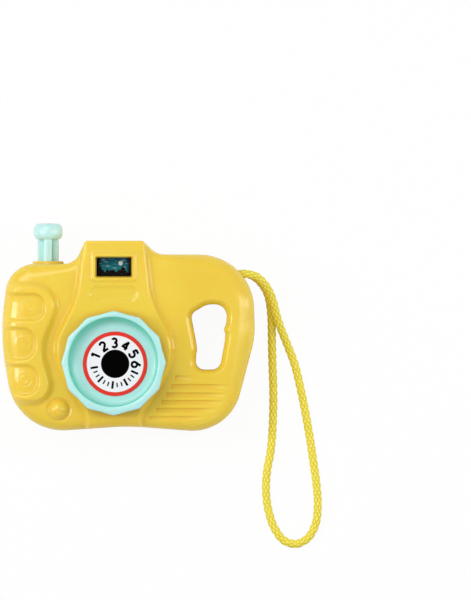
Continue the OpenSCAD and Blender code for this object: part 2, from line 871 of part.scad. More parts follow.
module eyepiece_lens() {
    ball = (pow(lens_d / 2, 2) + pow(lens_bulge, 2)) / (2 * lens_bulge);
    color("lightblue", 0.5)
        translate([0, picture_y, eyepiece_seat]) {
            cylinder(d = lens_d, h = lens_edge);
            for (side = [0, 1])
                translate([0, 0, side * lens_edge])
                    mirror([0, 0, 1 - side])
                        intersection() {
                            translate([0, 0, lens_bulge - ball]) sphere(ball);
                            cylinder(d = lens_d - 3, h = lens_bulge + 1);
                        }
        }
}

module eyepiece_ring() {
    low = eyepiece_seat + lens_edge;
    color(inner_colour)
        difference() {
            post([0, picture_y], lens_d, low, low + eyepiece_ring_h);
            post([0, picture_y], lens_d - 2.4, low - sink, low + eyepiece_ring_h + sink);
        }
}

module shell_screws() {
    color(metal_colour)
        for (place = screw_places)
            screw(place, screw_seat_z, screw_d, screw_len, screw_head_d, screw_head_h);
}

// Strap

// The route, moved with the corner it leaves; its heights grow from the floor with the parting line
function placed_route() = [for (q = strap_route)
    [q[0] + right_reach - route_home[0], q[1] + strap_y - route_home[1],
     cord_d / 2 + (q[2] - route_lay) * (parting - cord_d / 2) / (route_home[2] - route_lay)]];

module strap_cord() {
    ends = [for (side = [-1, 1]) [knot_face_x, strap_y, parting + side * strap_step / 2]];
    color(cord_colour)
        tube(concat([ends[0], ends[0] + [5, 0, 0]], placed_route(), [ends[1] + [5, 0, 0], ends[1]]),
            cord_d / 2, 8, [0, 0, 1]);
}

module strap_knot() {
    color(cord_colour)
        translate([knot_face_x, strap_y, parting])
            rotate([0, -90, 0])
                rotate_extrude()
                    polygon(concat([[0, 0]], [for (a = [-60:15:75]) [knot_r * cos(a), knot_r * (sin(a) + sin(60))]],
                        [[0, knot_r * (1 + sin(60))]]));
}

front_shell();
rear_shell();
lens_ring();
lens_label();
front_window();
picture_film();
picture_wheel();
wheel_washer();
wheel_screw();
click_spring();
click_screw();
shutter_button();
drive_pawl();
pawl_screw();
return_spring();
eyepiece_lens();
eyepiece_ring();
shell_screws();
strap_cord();
strap_knot();
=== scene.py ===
"""Looks of a toy camera that shows pictures: moulded shells, lens ring, plunger, window and strap.

Sizes are in millimetres in the camera's own frame: X to the right, Y to the camera's top, Z out of
the lens, the origin on the lens axis at the flat back. Meshes are written in metres.
"""
import logging
import math
from collections.abc import Callable, Sequence
from dataclasses import dataclass, field
from enum import Enum

import bmesh
import bpy
import numpy as np
from numpy.typing import NDArray
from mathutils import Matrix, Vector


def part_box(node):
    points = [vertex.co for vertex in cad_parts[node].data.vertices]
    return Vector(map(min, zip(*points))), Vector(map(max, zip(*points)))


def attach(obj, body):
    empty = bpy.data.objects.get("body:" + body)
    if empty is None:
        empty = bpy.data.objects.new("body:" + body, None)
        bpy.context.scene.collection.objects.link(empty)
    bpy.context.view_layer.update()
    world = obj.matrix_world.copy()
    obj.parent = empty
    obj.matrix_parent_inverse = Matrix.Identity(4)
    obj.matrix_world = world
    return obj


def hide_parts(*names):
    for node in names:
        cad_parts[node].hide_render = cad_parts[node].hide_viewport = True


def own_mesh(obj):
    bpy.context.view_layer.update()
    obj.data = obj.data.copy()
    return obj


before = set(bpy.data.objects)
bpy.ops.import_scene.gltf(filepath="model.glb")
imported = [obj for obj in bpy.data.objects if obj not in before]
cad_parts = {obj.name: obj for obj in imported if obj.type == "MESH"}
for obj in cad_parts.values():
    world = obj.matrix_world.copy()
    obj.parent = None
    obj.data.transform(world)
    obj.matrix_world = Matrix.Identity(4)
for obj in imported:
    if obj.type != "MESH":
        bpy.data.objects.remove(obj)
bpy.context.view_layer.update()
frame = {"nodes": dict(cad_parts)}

Array = NDArray[np.float64]
Socket = bpy.types.NodeSocket
Tree = bpy.types.NodeTree
Pair = tuple[float, float]
Triple = tuple[float, float, float]
Quad = tuple[float, float, float, float]
# A place on a colour ramp and the hex colour there
Stop = tuple[float, str]
# A corner of an outline: x, y, radius and the rounding of the body's edge there
Corner = Quad
# Gives added heights from points in x and y
Relief = Callable[[Array], Array]

LOG = logging.getLogger("toy_camera")
MM = 0.001
# Layers of the meshes that materials read
BRAID_LAYER = "braid"
# Where shade is painted on the lens dish, and how deep
PAINTED_SHADE_LAYER = "hollow"
# Points on the arc of an outline's corner or of a number's stroke
ARC_POINTS = 25
# Points of a mesh that are closer than this, in metres, are one
MERGE = 2e-7
# A cut that leaves a smaller share of a mesh's faces has failed
KEPT_SHARE = 0.6


class Carrier(Enum):
    """The bodies that the new pieces move with."""

    CAMERA = "camera_body"
    SHUTTER = "shutter"


class Slot(Enum):
    """Names of the record's material slots."""

    BODY = "body_plastic"
    TRIM = "trim_plastic"
    LABEL = "label"
    STEEL = "steel"
    CORD = "cord"


# Finishes

def linear(hex_colour: str) -> tuple[float, float, float, float]:
    """Turns an sRGB hex colour into linear light.

    Args:
        hex_colour: Six hex digits after a hash sign.
    Returns:
        Red, green, blue and an alpha of one.
    """
    parts = np.array([int(hex_colour[i:i + 2], 16) for i in (1, 3, 5)]) / 255
    light = np.where(parts <= 0.04045, parts / 12.92, ((parts + 0.055) / 1.055) ** 2.4)
    return (float(light[0]), float(light[1]), float(light[2]), 1.0)


def per_mm(size_mm: float) -> float:
    """The texture scale whose pattern repeats about once in that many millimetres."""
    return 1.0 / (size_mm * MM)


def add_node(tree: Tree, kind: str, settings: dict | None = None,
             inputs: dict | None = None) -> bpy.types.Node:
    """Adds a node with its settings, and sets or links its inputs.

    Args:
        tree: The node tree.
        kind: Blender's name of the node.
        settings: Properties of the node by name.
        inputs: Values or output sockets by input name or number.
    Returns:
        The new node.
    """
    node = tree.nodes.new(kind)
    for name, value in (settings or {}).items():
        setattr(node, name, value)
    for key, value in (inputs or {}).items():
        if isinstance(value, bpy.types.NodeSocket):
            tree.links.new(value, node.inputs[key])
        else:
            node.inputs[key].default_value = value
    return node


def set_ramp(node: bpy.types.Node, stops: Sequence[Stop]) -> None:
    """Gives a colour ramp its stops.

    Args:
        node: The ramp's node.
        stops: Places from 0 to 1 with their hex colours.
    """
    ramp = node.color_ramp
    while len(ramp.elements) < len(stops):
        ramp.elements.new(1.0)
    for element, (place, colour) in zip(ramp.elements, stops):
        element.position = place
        element.color = linear(colour)


def new_material(name: str) -> tuple[bpy.types.Material, Tree, bpy.types.Node]:
    """Starts a material.

    Args:
        name: Its name.
    Returns:
        The material, its node tree and its shader, already linked to the output.
    """
    material = bpy.data.materials.new(name)
    material.use_nodes = True
    tree = material.node_tree
    shader = tree.nodes["Principled BSDF"]
    return material, tree, shader


@dataclass(frozen=True)
class MouldedPlastic:
    """Injection-moulded plastic with a satin gloss.

    The polished mould leaves a smooth skin with faint flow clouds, slow waves where the wall sank
    on cooling, and a fine grain that breaks up the gloss. Hollows can take painted shade, a deeper
    colour mixed in by a layer of the mesh or by how open each place is.
    """

    name: str
    light: str
    deep: str
    roughness: float = 0.21
    # How far the clouds lower and raise the roughness
    gloss_range: Pair = (-0.03, 0.05)
    ior: float = 1.53
    cloud_mm: float = 26.0
    # Cloud values that give the deep and the light colour
    cloud_range: Pair = (0.32, 0.68)
    wave_mm: float = 17.0
    wave_depth_mm: float = 0.03
    # Real mould grain is near 0.1 mm: it is drawn coarser so that it shows
    grain_mm: float = 0.5
    grain_depth_mm: float = 0.004
    # How far light enters the pigmented wall, with the shares of red, green and blue in that
    depth_mm: float = 0.0
    depth_rgb: Triple = (1.0, 0.4, 0.1)
    depth_weight: float = 0.5
    # Painted shade: the deeper colour painted into the hollows, where shade falls and light passes from wall
    # to wall
    hollow: str = ""
    painted_shade_mm: float = 3.5
    # Openness of a full hollow and of an open place, for the painted shade
    open_range: Pair = (0.42, 0.97)
    # Mesh layer that says where shade is painted and how deep, or nothing where the painted shade follows
    # openness
    painted_shade_layer: str = ""

    def with_painted_shade(self, tree: Tree, colour: Socket) -> Socket:
        """Paints shade into the hollows: mixes the deeper colour into the plain one, by the mesh layer or by
        openness.

        Args:
            tree: The node tree.
            colour: The plain colour.
        Returns:
            The mixed colour.
        """
        if self.painted_shade_layer:
            # Painted shade, as deep as the mesh layer says
            depth = add_node(tree, "ShaderNodeAttribute", {"attribute_name": self.painted_shade_layer})
            parts = {"Factor": depth.outputs["Fac"], "A": colour, "B": linear(self.hollow)}
        else:
            # Painted shade where ambient occlusion finds the place closed in
            around = add_node(tree, "ShaderNodeAmbientOcclusion", {"samples": 6},
                              {"Distance": self.painted_shade_mm * MM})
            openness = add_node(tree, "ShaderNodeMapRange", None,
                                {"Value": around.outputs["AO"], "From Min": self.open_range[0],
                                 "From Max": self.open_range[1]})
            parts = {"Factor": openness.outputs["Result"], "A": linear(self.hollow), "B": colour}
        return add_node(tree, "ShaderNodeMix", {"data_type": "RGBA"}, parts).outputs["Result"]

    def material(self) -> bpy.types.Material:
        """Builds the material: clouds drive colour and gloss, waves and grain the bump.

        Returns:
            The material.
        """
        material, tree, shader = new_material(self.name)
        place = add_node(tree, "ShaderNodeTexCoord").outputs["Object"]
        clouds = add_node(tree, "ShaderNodeTexNoise", None,
                          {"Vector": place, "Scale": per_mm(self.cloud_mm), "Detail": 3.0})
        ramp = add_node(tree, "ShaderNodeValToRGB", None, {"Fac": clouds.outputs["Fac"]})
        set_ramp(ramp, [(self.cloud_range[0], self.deep), (self.cloud_range[1], self.light)])
        grain = add_node(tree, "ShaderNodeTexNoise", None,
                         {"Vector": place, "Scale": per_mm(self.grain_mm), "Detail": 2.0})
        waves = add_node(tree, "ShaderNodeTexNoise", None,
                         {"Vector": place, "Scale": per_mm(self.wave_mm), "Detail": 1.0})
        gloss = add_node(tree, "ShaderNodeMapRange", None,
                         {"Value": clouds.outputs["Fac"], "From Min": 0.3, "From Max": 0.7,
                          "To Min": self.roughness + self.gloss_range[0],
                          "To Max": self.roughness + self.gloss_range[1]})
        slow = add_node(tree, "ShaderNodeBump", None,
                        {"Height": waves.outputs["Fac"], "Strength": 1.0,
                         "Distance": self.wave_depth_mm * MM})
        fine = add_node(tree, "ShaderNodeBump", None,
                        {"Height": grain.outputs["Fac"], "Strength": 1.0,
                         "Distance": self.grain_depth_mm * MM, "Normal": slow.outputs["Normal"]})
        shader.inputs["IOR"].default_value = self.ior
        if self.depth_mm:
            shader.inputs["Subsurface Weight"].default_value = self.depth_weight
            shader.inputs["Subsurface Radius"].default_value = self.depth_rgb
            shader.inputs["Subsurface Scale"].default_value = self.depth_mm * MM
        colour = ramp.outputs["Color"]
        # Painted shade in the hollows, where a colour for them is given
        if self.hollow:
            colour = self.with_painted_shade(tree, colour)
        tree.links.new(colour, shader.inputs["Base Color"])
        tree.links.new(gloss.outputs["Result"], shader.inputs["Roughness"])
        tree.links.new(fine.outputs["Normal"], shader.inputs["Normal"])
        return material


@dataclass(frozen=True)
class ClearAcrylic:
    """Cast clear acrylic, a pane or a lens: nearly colourless, with a sharp gloss and faint haze."""

    name: str
    tint: str
    alpha: float
    roughness: float = 0.05
    haze_mm: float = 3.0
    # How far the haze raises the roughness
    haze_rise: float = 0.06
    ior: float = 1.49
    specular: float = 0.2

    def material(self) -> bpy.types.Material:
        """Builds the material: a see-through skin whose gloss is broken by faint haze.

        Returns:
            The material.
        """
        material, tree, shader = new_material(self.name)
        place = add_node(tree, "ShaderNodeTexCoord").outputs["Object"]
        haze = add_node(tree, "ShaderNodeTexNoise", None,
                        {"Vector": place, "Scale": per_mm(self.haze_mm), "Detail": 2.0})
        gloss = add_node(tree, "ShaderNodeMapRange", None,
                         {"Value": haze.outputs["Fac"], "To Min": self.roughness,
                          "To Max": self.roughness + self.haze_rise})
        shader.inputs["Base Color"].default_value = linear(self.tint)
        shader.inputs["Alpha"].default_value = self.alpha
        shader.inputs["IOR"].default_value = self.ior
        shader.inputs["Specular IOR Level"].default_value = self.specular
        tree.links.new(gloss.outputs["Result"], shader.inputs["Roughness"])
        return material


@dataclass(frozen=True)
class DrawnSteel:
    """Zinc-plated steel, drawn wire or a turned screw: bright, with duller clouds in the plating."""

    name: str
    bright: str = "#C9CCD0"
    dull: str = "#9EA3A8"
    plating_mm: float = 1.2
    # Cloud values that give the dull and the bright colour
    plating_range: Pair = (0.35, 0.65)
    roughness: float = 0.32
    # How far the clouds lower and raise the roughness
    gloss_range: Pair = (-0.1, 0.14)

    def material(self) -> bpy.types.Material:
        """Builds the material: plating clouds vary the colour and the gloss.

        Returns:
            The material.
        """
        material, tree, shader = new_material(self.name)
        place = add_node(tree, "ShaderNodeTexCoord").outputs["Object"]
        clouds = add_node(tree, "ShaderNodeTexNoise", None,
                          {"Vector": place, "Scale": per_mm(self.plating_mm), "Detail": 4.0})
        ramp = add_node(tree, "ShaderNodeValToRGB", None, {"Fac": clouds.outputs["Fac"]})
        set_ramp(ramp, [(self.plating_range[0], self.dull), (self.plating_range[1], self.bright)])
        gloss = add_node(tree, "ShaderNodeMapRange", None,
                         {"Value": clouds.outputs["Fac"], "To Min": self.roughness + self.gloss_range[0],
                          "To Max": self.roughness + self.gloss_range[1]})
        shader.inputs["Metallic"].default_value = 1.0
        tree.links.new(ramp.outputs["Color"], shader.inputs["Base Color"])
        tree.links.new(gloss.outputs["Result"], shader.inputs["Roughness"])
        return material


@dataclass(frozen=True)
class PrintedRings:
    """Coated paper printed with rings of colour round the label's middle: satin, with some fibre."""

    name: str
    centre: str
    middle: str
    rim: str
    centre_r: float
    middle_r: float
    outer_r: float
    place: Pair
    # Half width of the soft line between two colours, as a share of the outer radius
    blur: float = 0.004
    fibre_mm: float = 0.6
    fibre_depth_mm: float = 0.004
    gloss_range: Pair = (0.36, 0.5)
    specular: float = 0.02

    def material(self) -> bpy.types.Material:
        """Builds the material: the distance from the label's middle picks the ring's colour.

        Returns:
            The material.
        """
        material, tree, shader = new_material(self.name)
        place = add_node(tree, "ShaderNodeTexCoord").outputs["Object"]
        level = add_node(tree, "ShaderNodeMapping", None,
                         {"Vector": place, "Scale": (1.0, 1.0, 0.0),
                          "Location": (-self.place[0] * MM, -self.place[1] * MM, 0.0)})
        away = add_node(tree, "ShaderNodeVectorMath", {"operation": "LENGTH"},
                        {0: level.outputs["Vector"]})
        share = add_node(tree, "ShaderNodeMapRange", None,
                         {"Value": away.outputs["Value"], "From Max": self.outer_r * MM})
        rings = add_node(tree, "ShaderNodeValToRGB", None, {"Fac": share.outputs["Result"]})
        inner = self.centre_r / self.outer_r
        outer = self.middle_r / self.outer_r
        set_ramp(rings, [(inner - self.blur, self.centre), (inner + self.blur, self.middle),
                         (outer - self.blur, self.middle), (outer + self.blur, self.rim)])
        fibre = add_node(tree, "ShaderNodeTexNoise", None,
                         {"Vector": place, "Scale": per_mm(self.fibre_mm), "Detail": 4.0})
        gloss = add_node(tree, "ShaderNodeMapRange", None,
                         {"Value": fibre.outputs["Fac"], "To Min": self.gloss_range[0],
                          "To Max": self.gloss_range[1]})
        bump = add_node(tree, "ShaderNodeBump", None,
                        {"Height": fibre.outputs["Fac"], "Distance": self.fibre_depth_mm * MM})
        shader.inputs["Specular IOR Level"].default_value = self.specular
        tree.links.new(rings.outputs["Color"], shader.inputs["Base Color"])
        tree.links.new(gloss.outputs["Result"], shader.inputs["Roughness"])
        tree.links.new(bump.outputs["Normal"], shader.inputs["Normal"])
        return material


@dataclass(frozen=True)
class PrintedInk:
    """Black printing ink on coated paper: near black, with slightly uneven cover."""

    name: str
    full: str = "#020203"
    thin: str = "#0C0C0E"
    cover_mm: float = 0.9
    # Cover values that give the full and the thin black
    cover_range: Pair = (0.4, 0.8)
    roughness: float = 0.42
    specular: float = 0.02

    def material(self) -> bpy.types.Material:
        """Builds the material: uneven cover varies the black.

        Returns:
            The material.
        """
        material, tree, shader = new_material(self.name)
        place = add_node(tree, "ShaderNodeTexCoord").outputs["Object"]
        cover = add_node(tree, "ShaderNodeTexNoise", None,
                         {"Vector": place, "Scale": per_mm(self.cover_mm), "Detail": 3.0})
        ramp = add_node(tree, "ShaderNodeValToRGB", None, {"Fac": cover.outputs["Fac"]})
        set_ramp(ramp, [(self.cover_range[0], self.full), (self.cover_range[1], self.thin)])
        shader.inputs["Roughness"].default_value = self.roughness
        shader.inputs["Specular IOR Level"].default_value = self.specular
        tree.links.new(ramp.outputs["Color"], shader.inputs["Base Color"])
        return material


@dataclass(frozen=True)
class PictureFilm:
    """Printed transparent film with six small scenes: sun and clouds over dark hills in a teal dusk.

    Each scene lies one sixth of a turn round the wheel's axis, and its hills and clouds differ.
    Places in a scene are in millimetres from its middle.
    """

    name: str
    axis_y: float = 20.9
    pictures: int = 6
    picture_r: float = 21.0
    picture_w: float = 15.0
    sky_half_h: float = 4.0
    sky: tuple[Stop, ...] = ((0.1, "#2A8C92"), (0.55, "#14727F"), (0.95, "#0B5668"))
    cloud: str = "#B9CFCB"
    # Scale of the clouds along, up and from scene to scene, and the noise where they begin and are full
    cloud_scale: Triple = (0.35, 1.1, 1.0)
    cloud_range: Pair = (0.56, 0.64)
    cloud_cover: float = 0.55
    sun: str = "#D9E4DC"
    sun_place: Triple = (2.9, 1.7, 0.0)
    # Radii where the sun's soft edge begins and ends
    sun_edge: Pair = (0.85, 1.1)
    ground: tuple[Stop, ...] = ((0.42, "#030403"), (0.62, "#20150A"), (0.75, "#4A2C12"))
    ground_scale: float = 1.1
    hill_scale: float = 0.4
    # A crest's height is its noise times the first plus the second
    hill_heights: Pair = (12.0, -7.2)
    hill_blur: float = 0.25
    frame: str = "#140B05"
    # Distances from a scene's side where the frame begins and is full
    frame_range: Pair = (2.2, 0.8)
    roughness: float = 0.3
    specular: float = 0.05

    def places(self, tree: Tree) -> tuple[Socket, Socket, Socket]:
        """Works out each point's own place in its scene.

        The turn round the axis is rounded to the nearest scene. Along is the radius times the
        sine of what is left, and up is the radius times its cosine less the scenes' radius.

        Args:
            tree: The node tree.
        Returns:
            The place along, the place up and the scene's number.
        """
        step = 2 * math.pi / self.pictures
        place = add_node(tree, "ShaderNodeTexCoord").outputs["Object"]
        moved = add_node(tree, "ShaderNodeMapping", None,
                         {"Vector": place, "Location": (0.0, -self.axis_y, 0.0),
                          "Scale": (1 / MM, 1 / MM, 0.0)})
        parts = add_node(tree, "ShaderNodeSeparateXYZ", None, {0: moved.outputs["Vector"]})
        turn = add_node(tree, "ShaderNodeMath", {"operation": "ARCTAN2"},
                        {0: parts.outputs["X"], 1: parts.outputs["Y"]})
        steps = add_node(tree, "ShaderNodeMath", {"operation": "DIVIDE"}, {0: turn.outputs[0], 1: step})
        number = add_node(tree, "ShaderNodeMath", {"operation": "ROUND"}, {0: steps.outputs[0]})
        left = add_node(tree, "ShaderNodeMath", {"operation": "MULTIPLY_ADD"},
                        {0: number.outputs[0], 1: -step, 2: turn.outputs[0]})
        radius = add_node(tree, "ShaderNodeVectorMath", {"operation": "LENGTH"},
                          {0: moved.outputs["Vector"]})
        sine = add_node(tree, "ShaderNodeMath", {"operation": "SINE"}, {0: left.outputs[0]})
        cosine = add_node(tree, "ShaderNodeMath", {"operation": "COSINE"}, {0: left.outputs[0]})
        along = add_node(tree, "ShaderNodeMath", {"operation": "MULTIPLY"},
                         {0: radius.outputs["Value"], 1: sine.outputs[0]})
        up = add_node(tree, "ShaderNodeMath", {"operation": "MULTIPLY_ADD"},
                      {0: radius.outputs["Value"], 1: cosine.outputs[0], 2: -self.picture_r})
        return along.outputs[0], up.outputs[0], number.outputs[0]

    def sky_colour(self, tree: Tree, along: Socket, up: Socket, spot: Socket) -> Socket:
        """Colours the sky by height, with clouds from stretched noise and the sun by distance.

        Args:
            tree: The node tree.
            along: The place along the scene.
            up: The place up the scene.
            spot: Both places with the scene's number.
        Returns:
            The sky's colour.
        """
        height = add_node(tree, "ShaderNodeMapRange", None,
                          {"Value": up, "From Min": -self.sky_half_h, "From Max": self.sky_half_h})
        sky = add_node(tree, "ShaderNodeValToRGB", None, {"Fac": height.outputs["Result"]})
        set_ramp(sky, self.sky)
        drift = add_node(tree, "ShaderNodeMapping", None, {"Vector": spot, "Scale": self.cloud_scale})
        vapour = add_node(tree, "ShaderNodeTexNoise", None,
                          {"Vector": drift.outputs["Vector"], "Scale": 1.0, "Detail": 2.0})
        cloud = add_node(tree, "ShaderNodeMapRange", None,
                         {"Value": vapour.outputs["Fac"], "From Min": self.cloud_range[0],
                          "From Max": self.cloud_range[1], "To Min": 0.0, "To Max": self.cloud_cover})
        clouded = add_node(tree, "ShaderNodeMix", {"data_type": "RGBA"},
                           {"Factor": cloud.outputs["Result"], "A": sky.outputs["Color"],
                            "B": linear(self.cloud)})
        flat_spot = add_node(tree, "ShaderNodeCombineXYZ", None, {"X": along, "Y": up})
        away = add_node(tree, "ShaderNodeVectorMath", {"operation": "DISTANCE"},
                        {0: flat_spot.outputs[0], 1: self.sun_place})
        sun = add_node(tree, "ShaderNodeMapRange", None,
                       {"Value": away.outputs["Value"], "From Min": self.sun_edge[0],
                        "From Max": self.sun_edge[1], "To Min": 1.0, "To Max": 0.0})
        lit = add_node(tree, "ShaderNodeMix", {"data_type": "RGBA"},
                       {"Factor": sun.outputs["Result"], "A": clouded.outputs["Result"],
                        "B": linear(self.sun)})
        return lit.outputs["Result"]

    def material(self) -> bpy.types.Material:
        """Builds the material: hills made of noise cover the sky, and a dark frame covers both sides.

        Returns:
            The material.
        """
        material, tree, shader = new_material(self.name)
        along, up, number = self.places(tree)
        spot = add_node(tree, "ShaderNodeCombineXYZ", None, {"X": along, "Y": up, "Z": number})
        ridge = add_node(tree, "ShaderNodeCombineXYZ", None, {"X": along, "Z": number})
        hills = add_node(tree, "ShaderNodeTexNoise", None,
                         {"Vector": ridge.outputs[0], "Scale": self.hill_scale, "Detail": 4.0})
        crest = add_node(tree, "ShaderNodeMath", {"operation": "MULTIPLY_ADD"},
                         {0: hills.outputs["Fac"], 1: self.hill_heights[0], 2: self.hill_heights[1]})
        above = add_node(tree, "ShaderNodeMath", {"operation": "SUBTRACT"}, {0: up, 1: crest.outputs[0]})
        land = add_node(tree, "ShaderNodeMapRange", None,
                        {"Value": above.outputs[0], "From Min": -self.hill_blur,
                         "From Max": self.hill_blur, "To Min": 1.0, "To Max": 0.0})
        grassy = add_node(tree, "ShaderNodeTexNoise", None,
                          {"Vector": spot.outputs[0], "Scale": self.ground_scale, "Detail": 4.0})
        ground = add_node(tree, "ShaderNodeValToRGB", None, {"Fac": grassy.outputs["Fac"]})
        set_ramp(ground, self.ground)
        scene_colour = add_node(tree, "ShaderNodeMix", {"data_type": "RGBA"},
                                {"Factor": land.outputs["Result"],
                                 "A": self.sky_colour(tree, along, up, spot.outputs[0]),
                                 "B": ground.outputs["Color"]})
        wide = add_node(tree, "ShaderNodeMath", {"operation": "ABSOLUTE"}, {0: along})
        border = add_node(tree, "ShaderNodeMapRange", None,
                          {"Value": wide.outputs[0], "From Min": self.picture_w / 2 - self.frame_range[0],
                           "From Max": self.picture_w / 2 - self.frame_range[1]})
        framed = add_node(tree, "ShaderNodeMix", {"data_type": "RGBA"},
                          {"Factor": border.outputs["Result"], "A": scene_colour.outputs["Result"],
                           "B": linear(self.frame)})
        shader.inputs["Roughness"].default_value = self.roughness
        shader.inputs["Specular IOR Level"].default_value = self.specular
        tree.links.new(framed.outputs["Result"], shader.inputs["Base Color"])
        return material


@dataclass(frozen=True)
class BraidedPolyester:
    """Bright braided polyester: shiny crossing strands, with shade painted darker in the gaps between them.

    The mesh carries the height of the braid, from 0 in a gap to 1 on a strand's crown, where a highlight is
    painted paler.
    """

    name: str
    painted_gap_shade: str
    strand: str
    painted_crown_highlight: str
    # Heights of a gap, of a strand's lower and upper side and of its crown
    heights: tuple[float, ...] = (0.06, 0.34, 0.7, 0.95)
    filament_mm: float = 0.35
    filament_depth_mm: float = 0.05
    roughness: float = 0.5
    sheen: float = 0.15

    def material(self) -> bpy.types.Material:
        """Builds the material: the braid's height picks the colour with painted shade and highlight,
        filaments the bump.

        Returns:
            The material.
        """
        material, tree, shader = new_material(self.name)
        height = add_node(tree, "ShaderNodeAttribute", {"attribute_name": BRAID_LAYER})
        # Painted shade in the gaps and a painted highlight on the crowns
        ramp = add_node(tree, "ShaderNodeValToRGB", None, {"Fac": height.outputs["Fac"]})
        set_ramp(ramp, list(zip(self.heights, (self.painted_gap_shade, self.strand, self.strand, self.painted_crown_highlight))))
        place = add_node(tree, "ShaderNodeTexCoord").outputs["Object"]
        filaments = add_node(tree, "ShaderNodeTexNoise", None,
                             {"Vector": place, "Scale": per_mm(self.filament_mm), "Detail": 3.0})
        bump = add_node(tree, "ShaderNodeBump", None,
                        {"Height": filaments.outputs["Fac"], "Distance": self.filament_depth_mm * MM})
        shader.inputs["Roughness"].default_value = self.roughness
        shader.inputs["Sheen Weight"].default_value = self.sheen
        tree.links.new(ramp.outputs["Color"], shader.inputs["Base Color"])
        tree.links.new(bump.outputs["Normal"], shader.inputs["Normal"])
        return material


Finish = (MouldedPlastic | ClearAcrylic | DrawnSteel | PrintedRings | PrintedInk | PictureFilm
          | BraidedPolyester)
# The photo sees the lens a little from one side: the dish's floor with the label lies off the axis, and
# the inner rim lies the other way
LABEL_PLACE = (0.6, -0.35)
RIM_PLACE = (-0.25, 0.5)
# Yellow has shade painted into its hollows by openness, mint has it painted on the dish's wall by the mesh
# layer
YELLOW = MouldedPlastic("moulded_yellow_abs", "#F5D54A", "#F1CE42", depth_mm=2.2, hollow="#EEB63C")
MINT = MouldedPlastic("moulded_mint_abs", "#C3F0ED", "#BBECE9", roughness=0.24, depth_mm=1.2,
                      depth_rgb=(0.2, 1.0, 0.85), hollow="#66E0C4", painted_shade_layer=PAINTED_SHADE_LAYER)
# Painted light: the plunger's copy of the ring's mint plastic, painted a little lighter and without painted
# shade
MINT_PAINTED_LIGHTER = MouldedPlastic("moulded_mint_abs_painted_lighter", "#C9F2EF", "#C1EEEB", roughness=0.24)
WHITE_POM = MouldedPlastic("moulded_white_pom", "#E6E6E0", "#DADAD3", roughness=0.42, ior=1.48)
PANE = ClearAcrylic("clear_acrylic_pane", "#3A4644", alpha=0.03)
MAGNIFIER = ClearAcrylic("clear_acrylic_magnifier", "#E8F2F2", alpha=0.25)
STEEL = DrawnSteel("zinc_plated_steel")
FILM = PictureFilm("printed_picture_film")
LABEL = PrintedRings("printed_label_paper", centre="#010101", middle="#F4F1F6", rim="#EA3D33",
                     centre_r=6.2, middle_r=12.35, outer_r=14.1, place=LABEL_PLACE)
INK = PrintedInk("printed_black_ink")
# The gap colour is painted shade and the crown colour a painted highlight
CORD = BraidedPolyester("braided_yellow_polyester", painted_gap_shade="#C9B00E", strand="#F3DF28", painted_crown_highlight="#FFF58C")


# Shapes worked out on whole arrays

@dataclass(frozen=True)
class Outline:
    """A closed outline: its points, outward directions and edge rounding, the last as the first."""

    points: Array
    normals: Array
    edge: Array


def rounded_outline(corners: Sequence[Corner], count: int) -> Outline:
    """Rounds a counterclockwise polygon and spaces points evenly along it.

    Each corner is an arc of its radius that touches both sides. Along an arc the outward direction
    turns from one side's to the other's, and a point is the arc's start plus the radius times the
    change of that direction. The edge rounding is averaged over a stretch of the outline.

    Args:
        corners: The corners.
        count: Number of points.
    Returns:
        The outline, with the first point repeated at its end.
    """
    table = np.array(corners, float)
    at = table[:, :2]
    ahead = np.roll(at, -1, axis=0) - at
    ahead /= np.linalg.norm(ahead, axis=1, keepdims=True)
    come = np.roll(ahead, 1, axis=0)
    cross = come[:, 0] * ahead[:, 1] - come[:, 1] * ahead[:, 0]
    turn = np.arctan2(cross, (come * ahead).sum(axis=1))
    start = at - come * (table[:, 2] * np.tan(np.abs(turn) / 2))[:, None]
    angle = turn[:, None] * np.linspace(0, 1, ARC_POINTS)
    cos, sin = np.cos(angle), np.sin(angle)
    heading = np.stack([come[:, :1] * cos - come[:, 1:] * sin,
                        come[:, :1] * sin + come[:, 1:] * cos], -1)
    normal = np.stack([heading[..., 1], -heading[..., 0]], -1)
    reach = (np.sign(turn) * table[:, 2])[:, None, None]
    arcs = (start[:, None] + reach * (normal - normal[:, :1])).reshape(-1, 2)
    normal = normal.reshape(-1, 2)
    edge = np.repeat(table[:, 3], ARC_POINTS)
    arcs = np.vstack([arcs, arcs[:1]])
    normal = np.vstack([normal, normal[:1]])
    edge = np.append(edge, edge[0])
    length = np.append(0, np.cumsum(np.linalg.norm(np.diff(arcs, axis=0), axis=1)))
    even = np.linspace(0, length[-1], count + 1)
    points = np.stack([np.interp(even, length, arcs[:, k]) for k in (0, 1)], -1)
    outward = np.stack([np.interp(even, length, normal[:, k]) for k in (0, 1)], -1)
    outward /= np.linalg.norm(outward, axis=1, keepdims=True)
    width = max(count // 40, 1)
    level = np.interp(even, length, edge)[:-1]
    around = np.concatenate([level[-width:], level, level[:width]])
    soft = np.convolve(around, np.full(2 * width + 1, 1 / (2 * width + 1)), mode="valid")
    # The average would blunt the hump, whose rounding is 1: near that, a place keeps its own
    soft = np.minimum(soft, 1.0 + 0.9 * np.abs(level - 1.0))
    return Outline(points, outward, np.append(soft, soft[0]))


